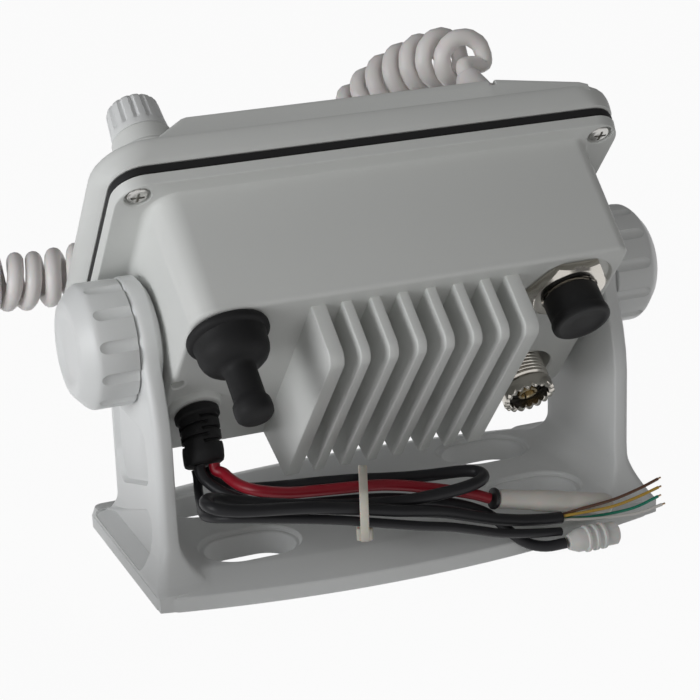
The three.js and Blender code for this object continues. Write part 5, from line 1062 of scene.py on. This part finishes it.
def makePowerRelief():
    c = {"startY": 20.8, "endY": 35.0, "endX": 56.7, "endZ": -13.6, "root": 6.4, "waist": 5.75, "head": 5.7, "end": 5.3,
        "slope": -0.29, "bands": 5, "sides": 64}
    start = Vector((relief["x"], c["startY"], relief["z"]))
    end = Vector((c["endX"], c["endY"], c["endZ"]))

    def ring(share, radius, slope=None, cut=0.0, phase=0.0):
        centre = Vector((between(start.x, end.x, share), between(start.y, end.y, share), start.z + (end.z - start.z) * share * share))
        lean = 2 * share * (end.z - start.z) / (end.y - start.y) if slope is None else slope
        out = []
        for i in range(c["sides"]):
            a = 2 * math.pi * i / c["sides"]
            r = radius - (cut if math.sin(2 * a + phase) > -0.35 else 0.0)
            out.append(Vector((centre.x + r * math.cos(a), centre.y - r * math.sin(a) * lean, centre.z + r * math.sin(a))))
        return out

    rings = [ring(0, c["root"] - 0.3), ring(0.02, c["root"]), ring(0.13, c["root"]), ring(0.16, c["waist"])]
    for i in range(c["bands"]):
        share = 0.2 + i * 0.1
        phase = 0.0 if i % 2 else math.pi
        rings += [ring(share, c["waist"] - i * 0.05), ring(share + 0.008, c["waist"] - i * 0.05, cut=1.0, phase=phase),
            ring(share + 0.05, c["waist"] - i * 0.05, cut=1.0, phase=phase),
            ring(share + 0.058, c["waist"] - i * 0.05)]
    rings += [ring(0.72, c["head"]), ring(0.8, c["head"] + 0.05, c["slope"] * 1.5),
        ring(0.93, c["head"], c["slope"] * 1.1), ring(0.98, c["end"] + 0.2, c["slope"]),
        ring(1, c["end"] - 0.3, c["slope"])]
    piece = pullRings("relief", rings)
    settle(piece, "powerRelief", "radio", "softRubber", "power_strain_relief", smooth=35)


makePowerRelief()
print("rear connectors made")

# yoke bracket

yoke = {
    "half": 76.7, "sideDepth": 33.7, "bow": 9.9, "rim": 4.5, "plateau": 8.0, "band": 10.4, "inner": 67.3, "outer": 72.3,
        "ear": 17.6, "earInner": 65.7, "earFace": 15.2,
    "frontEdge": 18.1, "flareHigh": 16.5, "flareLow": 6.4, "fillet": 8.0, "outerFlareHigh": 15.0, "outerFlareLow": 4.5,
    "rearLine": [(36.4, 0), (36.4, 4.3), (34.4, 5.0), (32.2, 6.2), (30.3, 7.6), (28.7, 9.2), (27.3, 11), (26.1, 13.2),
        (25.2, 16), (24.8, 19.5), (24.7, 30), (24.6, 42), (23.9, 48), (22.4, 54), (20.3, 60), (18.2, 64.4),
        (17.6, 90)],
    "levels": [0.3, 2.2, 4.3, 5, 5.6, 6.2, 6.45, 6.8, 7.2, 7.6, 8.4, 9.2, 10, 11, 12, 13.2, 14.6, 16, 16.6, 18, 19.5,
        24, 30, 36, 42, 48, 54, 60, 64.4],
    "earLevels": [0, 2.5, 5, 7.5, 9.7, 11.7, 13.4, 14.8, 15.9, 16.7, 17.2, 17.5], "soft": 0.9, "rearRound": 2.2, "footRound": 3.0,
    "upperPanel": [(-10.7, 21.4), (15.6, 29.9), (16.2, 36), (13.5, 45.4), (-14.6, 45.4), (-15.4, 30.4)],
    "footPanel": [(-29.5, 5.3), (-23.4, 9), (-2.3, 17.2), (13.6, 23.2), (16.9, 19.6), (16.4, 10), (15.4, 5.3)],
    "slotX": 44.5, "slotY": 17.0, "slotRadius": 8.8, "slotHalf": 4.3, "lip": 1.5, "lipDepth": 1.3,
}


def softCorners(points, radius, steps=5):
    out = []
    for i, corner in enumerate(points):
        a, b, c = Vector(points[i - 1]), Vector(corner), Vector(points[(i + 1) % len(points)])
        first = b + (a - b).normalized() * min(radius, (a - b).length * 0.45)
        last = b + (c - b).normalized() * min(radius, (c - b).length * 0.45)
        for k in range(steps + 1):
            t = k / steps
            out.append(tuple(first.lerp(b, t).lerp(b.lerp(last, t), t)))
    return out


def softPocket(name, points, floor, face, edge):
    # a cutter with a sloping wall and rounded rims, from the pocket's floor out through the face
    levels = [(floor, edge * 1.6), (between(floor, face, 0.18), edge * 0.95), (between(floor, face, 0.7), edge * 0.35),
        (face, 0.0), (face + (face - floor) * 0.15, -edge * 0.5), (face + (face - floor) * 6, -edge * 0.6)]
    return pullRings(name, [[Vector((x, u, v)) for u, v in shrunk(points, inset)] for x, inset in levels])


def plateauDepth(x, inset=0.0):
    return yoke["sideDepth"] + yoke["bow"] * (1 - (x / yoke["half"]) ** 2) - inset


def alongTable(table, place):
    # (value, place) pairs read between their rows
    for (value, at), (after, atAfter) in zip(table, table[1:]):
        if place <= atAfter:
            return value + (after - value) * (place - at) / (atAfter - at)
    return table[-1][0]


def armRing(z, sign):
    # one level of an arm: fillet inside, wedge outside, a big soft corner at the rear
    c = yoke
    pivot = pose["pivotHeight"]
    low = min(1, max(0, (13 - z) / 8))
    rear = alongTable(c["rearLine"], z)
    front = -18.1 if z > c["flareHigh"] else -c["sideDepth"]
    if c["flareLow"] < z <= c["flareHigh"]:
        rise = 1 - (z - c["flareLow"]) / (c["flareHigh"] - c["flareLow"])
        front = -c["sideDepth"] + (c["sideDepth"] - c["frontEdge"]) * math.sqrt(1 - rise * rise)
    outer = c["outer"] + (c["half"] - 0.2 - c["outer"]) * min(1,
        max(0, (c["outerFlareHigh"] - z) / (c["outerFlareHigh"] - c["outerFlareLow"]))) ** 1.25
    inner, thin = c["inner"], 0
    if z >= pivot:
        rear = math.sqrt(max(0.01, c["ear"] ** 2 - (z - pivot) ** 2))
        front = -rear
        over = max(0, z - pivot - c["ear"] + c["soft"])
        thin = c["soft"] - math.sqrt(max(0, c["soft"] ** 2 - over * over))
    elif z > 55:
        front = between(-18.1, -17.6, (z - 55) / (pivot - 55))
    inner, outer = inner + thin, outer - thin
    soft = min(c["soft"], rear * 0.4)
    rearSoft = min(between(c["rearRound"], c["footRound"], low), rear * 0.4)
    frontSoft = min(between(1.4, c["footRound"], low), rear * 0.4)
    flat = [(inner, between(rear - soft, front + soft, i / 14)) for i in range(15)]

    def corner(x, y, radius, start, steps):
        return [(x + radius * math.cos(start + math.pi / 2 * i / steps),
            y + radius * math.sin(start + math.pi / 2 * i / steps)) for i in range(1, steps + 1)]

    flat += corner(inner + soft, front + soft, soft, math.pi, 3)
    flat += [(outer - frontSoft, front)] + corner(outer - frontSoft, front + frontSoft, frontSoft, -math.pi / 2, 5)
    flat += [(outer, between(front + frontSoft, rear - rearSoft, i / 5))
        for i in range(1, 6)] + corner(outer - rearSoft, rear - rearSoft, rearSoft, 0, 7)
    flat += [(inner + soft, rear)] + corner(inner + soft, rear - soft, soft, math.pi / 2, 3)[:-1]
    reach, level = plateauDepth(c["inner"]), plateauDepth(c["inner"], c["band"])
    ring = []
    for x, y in flat:
        bottom = between(c["plateau"] - 0.1, c["rim"] - 0.3, min(1, max(0, (abs(y) - level) / (reach - level))))
        under = min(c["fillet"], max(0, bottom + c["fillet"] - z))
        x -= (c["fillet"] - math.sqrt(c["fillet"] ** 2 - under * under)) * max(0, 1 - (x - inner) / 3)
        edge = plateauDepth(x) - 0.12
        ring.append(Vector((sign * x, max(-edge, min(edge, y)), z)))
    return ring


def makeBracket():
    c = yoke
    pivot = pose["pivotHeight"]

    def baseRing(z, inset, endInset):
        ring = []
        for sign in (1, -1):
            half = c["half"] - endInset
            for i in range(33):
                x = sign * (half - 2 * half * i / 32)
                y = sign * plateauDepth(x, inset)
                if i in (0, 32):
                    side = 1 if x > 0 else -1
                    soft = c["footRound"]
                    turn = [(x - side * soft * (1 - math.cos(a)), y - sign * soft * (1 - math.sin(a)))
                        for a in (math.pi / 2 * k / 6 for k in range(7))]
                    ring += [Vector((u, v, z)) for u, v in (turn if i == 0 else turn[::-1])]
                else:
                    ring.append(Vector((x, y, z)))
        return ring

    footing = pullRings("footing", [baseRing(0, 0.35, 0.35), baseRing(0.35, 0, 0), baseRing(c["rim"] - 0.5, 0, 0),
        baseRing(c["rim"] - 0.1, 0.25, 0.3), baseRing(c["rim"] + 0.15, 0.8, 0.6),
        baseRing(c["plateau"] - 0.2, c["band"] - 0.8, 4.4), baseRing(c["plateau"], c["band"] + 0.4, 5)])
    arms = []
    for sign in (1, -1):
        upright = pullRings("upright", [armRing(z, sign) for z in c["levels"] + [pivot + rise for rise in c["earLevels"]]])
        earBoss = turnAlongX("earBoss", [(c["earFace"] - 0.3, sign * c["earInner"]),
            (c["earFace"], sign * (c["earInner"] + 0.3)), (c["ear"] - 1.2, sign * (c["inner"] + 0.2)),
            (c["ear"] - 1.2, sign * (c["inner"] + 2))], 72, z=pivot)
        weld(upright, [earBoss])
        carve(upright, [softPocket("upperPocket", softCorners(c["upperPanel"], 3.2), sign * (c["outer"] - 1.7), sign * c["outer"], 1.0)])
        carve(upright, [softPocket("footPocket", softCorners(c["footPanel"], 2.6), sign * (c["outer"] - 0.4),
            sign * (c["outer"] + 0.8), 1.0)])
        carve(upright, [turnAlongX("washerSeat", [(10, sign * (c["earInner"] - 2)), (10, sign * (c["earInner"] + 1))],
            56, z=pivot), turnAlongX("studHole", [(3.5, sign * 60), (3.5, sign * 76)], 32, z=pivot)])
        arms.append(upright)
    weld(footing, arms, crossing=True)
    for sx in (1, -1):
        for sy in (1, -1):
            length = (c["slotHalf"] + c["slotRadius"]) * 2

            def ring(grow, z):
                points = roundedBox(sx * c["slotX"] - length / 2 - grow, sx * c["slotX"] + length / 2 + grow,
                    sy * c["slotY"] - c["slotRadius"] - grow, sy * c["slotY"] + c["slotRadius"] + grow,
                    c["slotRadius"] * 0.998 + grow, 12)
                return [Vector((x, y, z)) for x, y in points]

            top = c["plateau"]
            carve(footing, [pullRings("slotCut", [ring(0, -2), ring(0, top - c["lipDepth"] - 0.3),
                ring(0.3, top - c["lipDepth"]), ring(c["lip"] - 0.4, top - c["lipDepth"] + 0.05),
                ring(c["lip"], top - c["lipDepth"] + 0.5), ring(c["lip"] + 0.1, top - 0.3),
                ring(c["lip"] + 0.5, top + 0.05), ring(c["lip"] + 0.5, top + 3)])])
    settle(footing, "yokeArmsAndBase", "bracket", "bracketPaint", "yoke_bracket", inCase=False, smooth=28)


makeBracket()
print("bracket made")

clamp = {"radius": 17.45, "grips": 12, "gripRadius": 2.0, "gripDepth": 1.05}


def makeClampKnobs():
    c = clamp
    pivot = pose["pivotHeight"]
    profile = [(16.7, 72.6), (17.2, 72.75), (17.45, 73.2), (17.45, 82.8), (17.3, 83.6), (16.9, 84.3), (16.2, 85.1),
        (13.6, 87.5), (12.9, 87.95), (12.1, 88.18), (11.2, 88.2), (10.4, 88.1), (9.6, 87.7), (8.8, 87.25), (7.6, 87.0),
        (3, 86.9)]
    knob = turnAlongX("clampKnob", profile, 96)
    cutters = []
    for i in range(c["grips"]):
        a = 2 * math.pi * (i + 0.5) / c["grips"]
        distance = c["radius"] + c["gripRadius"] - c["gripDepth"]
        g = c["gripRadius"]
        cutters.append(turnAlongX("grip", [(g, 71), (g, 81.2), (g * 0.92, 82.2), (g * 0.7, 83.1), (g * 0.38, 83.7),
            (g * 0.1, 83.9)], 24, y=distance * math.cos(a), z=distance * math.sin(a)))
    carve(knob, [gather(cutters), turnAlongX("socket", [(3.3, 70), (3.3, 78.9)], 32)])
    left = copyOf(knob, "clampKnobLeft", Matrix.Translation((0, 0, pivot)) @ Matrix.Rotation(math.pi, 4, "Z"))
    knob.data.transform(Matrix.Translation((0, 0, pivot)))
    settle(knob, "clampKnobRight", "clamp_right", "knobPlastic", "clamp_knob_right", inCase=False, smooth=32)
    settle(left, "clampKnobLeft", "clamp_left", "knobPlastic", "clamp_knob_left", inCase=False, smooth=32)


makeClampKnobs()

# what lies behind: sleeve, tie, plug


def turnAlong(name, profile, start, direction, sides=40):
    turn = Vector((0, 1, 0)).rotation_difference(direction).to_matrix().to_4x4()
    piece = turnAlongY(name, 0, 0, profile, sides)
    piece.data.transform(Matrix.Translation(start) @ turn)
    return piece


def makeSleeveTiePlug():
    c = {"along": (-38.4, 0.4, -9.0), "gap": 0.78, "long": 38.5, "radius": 2.8, "ring": 3.1}
    along = Vector(c["along"]).normalized()
    start = rearMade["redPowerWire"][1][-1] + along * c["gap"]
    r = c["radius"]
    sleeve = turnAlong("sleeve", [(r - 0.3, 1.5), (r, 1.7), (r, 12.8), (r + 0.1, 13.2), (r + 0.3, 14.4), (r + 0.3, 24),
        (r + 0.2, 24.6), (r + 0.3, 25.4), (r + 0.3, 36.6), (r, 37.4), (r - 0.3, 38.2), (r - 0.8, 38.5)], start, along)
    settle(sleeve, "powerSleeve", "bracket", "sleeveFilm", "power_sleeve", inCase=False)
    mouth = turnAlong("mouth", [(2.6, 0), (3.0, 0.15), (3.1, 0.5), (3.1, 0.9), (2.9, 1.25), (2.2, 1.4)], start, along)
    settle(mouth, "sleeveMouth", "bracket", "hardBlack", (), inCase=False)
    t = {"x": 19.0, "y": 40.0, "z": 24.0, "across": 25.6, "high": 12.8, "corner": 5.0, "width": 2.4, "thickness": 1.1,
        "head": 4.6, "turn": -22}
    box = lambda grow: roundedBox(t["y"] - t["across"] / 2 - grow, t["y"] + t["across"] / 2 + grow,
        t["z"] - t["high"] / 2 - grow, t["z"] + t["high"] / 2 + grow, t["corner"] + grow, 8)
    band = slabYZ("band", box(t["thickness"]), t["x"] - t["width"] / 2, t["x"] + t["width"] / 2, 0.25, steps=2)
    carve(band, [slabYZ("inside", box(0), t["x"] - 4, t["x"] + 4)])
    top = t["z"] - t["high"] / 2 - 0.3
    head = slabXY("head", roundedBox(t["x"] - t["head"] / 2, t["x"] + t["head"] / 2, t["y"] - t["head"] / 2,
        t["y"] + t["head"] / 2, 0.6, 3), top - t["head"] * 0.8, top, 0.4)
    loop = gather([band, head])
    loop.data.transform(Matrix.Translation((t["x"], t["y"], 0)) @ Matrix.Rotation(math.radians(t["turn"]), 4,
        "Z") @ Matrix.Translation((-t["x"], -t["y"], 0)))
    settle(loop, "cableTieLoop", "bracket", "tieNylon", "cable_tie", inCase=False)
    p = {"length": 15.7, "radius": 3.3, "rib": 0.5}
    start = rearMade["blackPowerWire"][1][-1] + Vector((-0.3, 0, 0))
    profile = [(1.7, 0.3), (2.2, 0.5), (3.0, 2.4), (p["radius"], 3.2)]
    for i in range(3):
        at = p["length"] * (0.34 + i * 0.16)
        profile += [(p["radius"], at), (p["radius"] + p["rib"], at + 0.35), (p["radius"] + p["rib"], at + 1.1), (p["radius"], at + 1.4)]
    profile += [(p["radius"], p["length"] - 0.4), (p["radius"] - 0.4, p["length"]), (p["radius"] - 1.0, p["length"]),
        (p["radius"] - 1.1, p["length"] - 2.5), (0.5, p["length"] - 2.5)]
    settle(turnAlong("plug", profile, start, Vector((-1, 0, 0))), "ribbedPlug", "bracket", "plugPlastic", "ribbed_plug",
        inCase=False)


makeSleeveTiePlug()
print("cable pieces made")

# fist microphone

micShape = {"x": 169.0, "near": -2.0, "length": 92.0, "half": 29.0, "neck": 20.0, "bottom": 3.2, "split": 18.2, "top": 31.0, "wall": 2.4}


def micOutline(inset):
    m = micShape
    near, length, half, neck = m["near"], m["length"], m["half"], m["neck"]
    side = [(neck * 0.6, near), (neck, near + length * 0.05), (neck + 3, near + length * 0.3),
        (half - 2, near + length * 0.55), (half, near + length * 0.72), (half - 2, near + length * 0.9),
        (half - 9, near + length * 0.98), (half - 18, near + length)]
    corners = side + [(-x, y) for x, y in reversed(side)]
    count = len(corners)
    smooth = []
    for i in range(count):
        a, b, c, d = (Vector(corners[(i + k - 1) % count]) for k in range(4))
        for j in range(4):
            t = j / 4
            smooth.append(tuple(0.5 * ((2 * b) + (c - a) * t + (2 * a - 5 * b + 4 * c - d) * t * t + (3 * b - a - 3 * c + d) * t ** 3) * 0.985 + b.lerp(c, t) * 0.015))
    inset += 0.15
    middle = near + length / 2
    return [(m["x"] + x * (1 - inset / half), middle + (y - middle) * (1 - inset * 2 / length)) for x, y in smooth]


def micRing(z, inset):
    return [Vector((x, y, z)) for x, y in micOutline(inset)]


def makeMicrophone():
    m = micShape
    bottom, split, top = m["bottom"], m["split"], m["top"]
    rear = pullRings("micRear", [micRing(bottom, 4.2), micRing(bottom + 0.5, 2.9), micRing(bottom + 1.4, 1.7),
        micRing(bottom + 3, 0.7), micRing(bottom + 6, 0.2), micRing(split - 0.3, 0), micRing(split, 0.3)])
    carve(rear, [pullRings("inside", [micRing(bottom + m["wall"], 5.5), micRing(split + 2, m["wall"])]),
        turnAlongY("bore", m["x"], 11, [(3.3, -6), (3.3, 8)], 32)])
    settle(rear, "micRearShell", "bracket", "casePaint", "mic_rear_shell", inCase=False, smooth=30)
    base = split + 0.3
    front = pullRings("micFront", [micRing(base, 0.3), micRing(base + 0.3, 0), micRing(base + 5, 0.25),
        micRing(top - 4, 1.1), micRing(top - 2, 2), micRing(top - 0.8, 3.2), micRing(top - 0.2, 4.6),
        micRing(top, 6.2)])
    cutters = [pullRings("inside", [micRing(base - 2, m["wall"]), micRing(top - m["wall"], 6)])]
    for i in range(-2, 3):
        y = m["near"] + m["length"] * 0.45 + i * 5
        cutters.append(slabXY("slot", roundedBox(m["x"] - 11, m["x"] + 11, y - 0.9, y + 0.9, 0.85, 4), top - 6, top + 2))
    spots = [(m["x"] + s * 8, m["near"] + m["length"] * 0.86) for s in (-1, 1)]
    cutters += [turnAlongZ("keyHole", x, y, [(4.0, top - 7), (4.0, top + 2)], 32) for x, y in spots]
    pttY, pttZ = m["near"] + m["length"] * 0.62, base + (top - base) / 2 - 1.15
    edge = m["x"] - m["half"]
    cutters.append(slabYZ("pttHole", roundedBox(pttY - 17.4, pttY + 17.4, pttZ - 4.9, pttZ + 4.9, 2), edge - 3, edge + 10.5))
    settle(carve(front, cutters), "micFrontShell", "bracket", "casePaint", "mic_front_shell", inCase=False, smooth=30)
    button = slabYZ("ptt", roundedBox(pttY - 16.8, pttY + 16.8, pttZ - 4.3, pttZ + 4.3, 1.8), edge - 1.2, edge + 7.2, 1.2, steps=4)
    settle(button, "micTalkBar", "ptt", "keyGrey", "mic_ptt_button", inCase=False)
    for (x, y), body, node in zip(spots, ("mic_up", "mic_down"), ("mic_up_key", "mic_down_key")):
        cap = turnAlongZ("key", x, y, [(3.3, top - 3.6), (3.6, top - 3.4), (3.6, top + 0.3), (3.3, top + 0.75),
            (2.6, top + 0.9), (0.5, top + 0.8)], 40)
        settle(cap, "micKey" + body[4:].title(), body, "keyGrey", node, inCase=False)
    stud = turnAlongZ("stud", m["x"], m["near"] + m["length"] * 0.6,
        [(4.4, 0.2), (5.0, 0.5), (5.0, 1.4), (4.6, 1.6), (2.5, 1.7), (2.5, 2.9)], 40)
    settle(stud, "micHangerStud", "bracket", "screwSteel", "mic_hanger_stud", inCase=False)
    profile = [(3.9, -18), (4.2, -17.6)]
    for i in range(5):
        y = -15.6 + i * 2.4
        r = 4.3 + i * 0.22
        profile += [(r, y), (r - 0.5, y + 0.5), (r - 0.5, y + 1.1), (r + 0.1, y + 1.6)]
    profile += [(5.6, -4.2), (5.6, -2.6), (5.3, -2.3), (2.9, -2.3), (2.9, 2.8)]
    settle(turnAlongY("micRelief", m["x"], 11, profile, 40), "micReliefSleeve", "bracket", "cordVinyl",
        "mic_cord_relief", inCase=False)


makeMicrophone()
print("microphone made")

# CAD pieces that stay, with their finishes

stays = {
    "display_module": "moduleGrey", "front_circuit_board": "boardLacquer", "main_circuit_board": "boardLacquer",
        "speaker": "speakerCone", "power_module": "hardBlack",
    "accessory_barrel": "nickelPlate", "boot_jack": "hardBlack", "channel_shaft": "screwSteel",
        "volume_shaft": "screwSteel", "clamp_stud_right": "screwSteel", "clamp_stud_left": "screwSteel",
    "friction_washer_right": "gasketRubber", "friction_washer_left": "gasketRubber",
}
for node, look in stays.items():
    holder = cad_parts[node]
    if not holder.material_slots:
        holder.data.materials.append(finish[look])
    for materialSlot in holder.material_slots:
        materialSlot.material = finish[look]

# cord meshes baked in place; the conductors and their bare strands tied to the bracket


def tieCords():
    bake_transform(micCurlyCord)
    for name, (piece, route, diameter) in rearMade.items():
        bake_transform(piece)
    for jacket, route, strand in conductors:
        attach(jacket, "bracket")
        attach(strand, "bracket")


tieCords()
print("cords tied")

# stage

stage = {"floor": (0.93, 0.93, 0.93), "floorSize": 6.0, "glowShare": 0.95, "world": 0.17, "worldColor": (1.0, 1.0, 1.0)}


def makeStage():
    letGo()
    bpy.ops.mesh.primitive_plane_add(size=stage["floorSize"], location=(0, 0, 0))
    floor = bpy.context.object
    floor.name = "studioFloor"
    material = bpy.data.materials.new("floorPaper")
    material.use_nodes = True
    nodes, link = material.node_tree.nodes, material.node_tree.links.new
    shader = nodes["Principled BSDF"]
    shader.inputs["Base Color"].default_value = (*stage["floor"], 1)
    shader.inputs["Roughness"].default_value = 0.9
    shader.inputs["Specular IOR Level"].default_value = 0.0
    glow = nodes.new("ShaderNodeEmission")
    glow.inputs["Color"].default_value = (1, 1, 1, 1)
    mix = nodes.new("ShaderNodeMixShader")
    rays = nodes.new("ShaderNodeLightPath")
    cameraOrGlossy = mathNode(nodes, "ADD")
    anyRay = mathNode(nodes, "ADD")
    share = mathNode(nodes, "MULTIPLY")
    share.use_clamp = True
    share.inputs[1].default_value = stage["glowShare"]
    link(rays.outputs["Is Camera Ray"], cameraOrGlossy.inputs[0])
    link(rays.outputs["Is Glossy Ray"], cameraOrGlossy.inputs[1])
    link(cameraOrGlossy.outputs[0], anyRay.inputs[0])
    link(rays.outputs["Is Transmission Ray"], anyRay.inputs[1])
    link(anyRay.outputs[0], share.inputs[0])
    link(share.outputs[0], mix.inputs["Fac"])
    link(shader.outputs["BSDF"], mix.inputs[1])
    link(glow.outputs["Emission"], mix.inputs[2])
    link(mix.outputs["Shader"], nodes["Material Output"].inputs["Surface"])
    floor.data.materials.append(material)
    world = bpy.data.worlds.new("studioWorld")
    scene.world = world
    world.use_nodes = True
    background = world.node_tree.nodes["Background"]
    background.inputs["Color"].default_value = (*stage["worldColor"], 1)
    background.inputs["Strength"].default_value = stage["world"]


lamps = {
    "sideKey": {"place": (1.05, 0.3, 0.22), "aim": (0, 0, 0.06), "size": 0.7, "power": 7.4, "tint": (0.98, 0.99, 1.0)},
    "rearFill": {"place": (0.1, 1.1, 0.4), "aim": (0, 0, 0.06), "size": 0.8, "power": 0.95, "tint": (1.0, 0.985, 0.93)},
    "topFill": {"place": (-0.2, -0.2, 1.1), "aim": (0, 0, 0.06), "size": 0.9, "power": 0.15, "tint": (1.0, 1.0, 1.0)},
}


def makeLamps():
    for name, lamp in lamps.items():
        data = bpy.data.lights.new(name, "AREA")
        data.shape = "SQUARE"
        data.size = lamp["size"]
        data.energy = lamp["power"]
        data.color = lamp["tint"]
        holder = bpy.data.objects.new(name, data)
        scene.collection.objects.link(holder)
        away = Vector(lamp["place"]) - Vector(lamp["aim"])
        holder.matrix_world = Matrix.Translation(lamp["place"]) @ away.to_track_quat("Z", "Y").to_matrix().to_4x4()


makeStage()
makeLamps()
print("stage and lamps set")
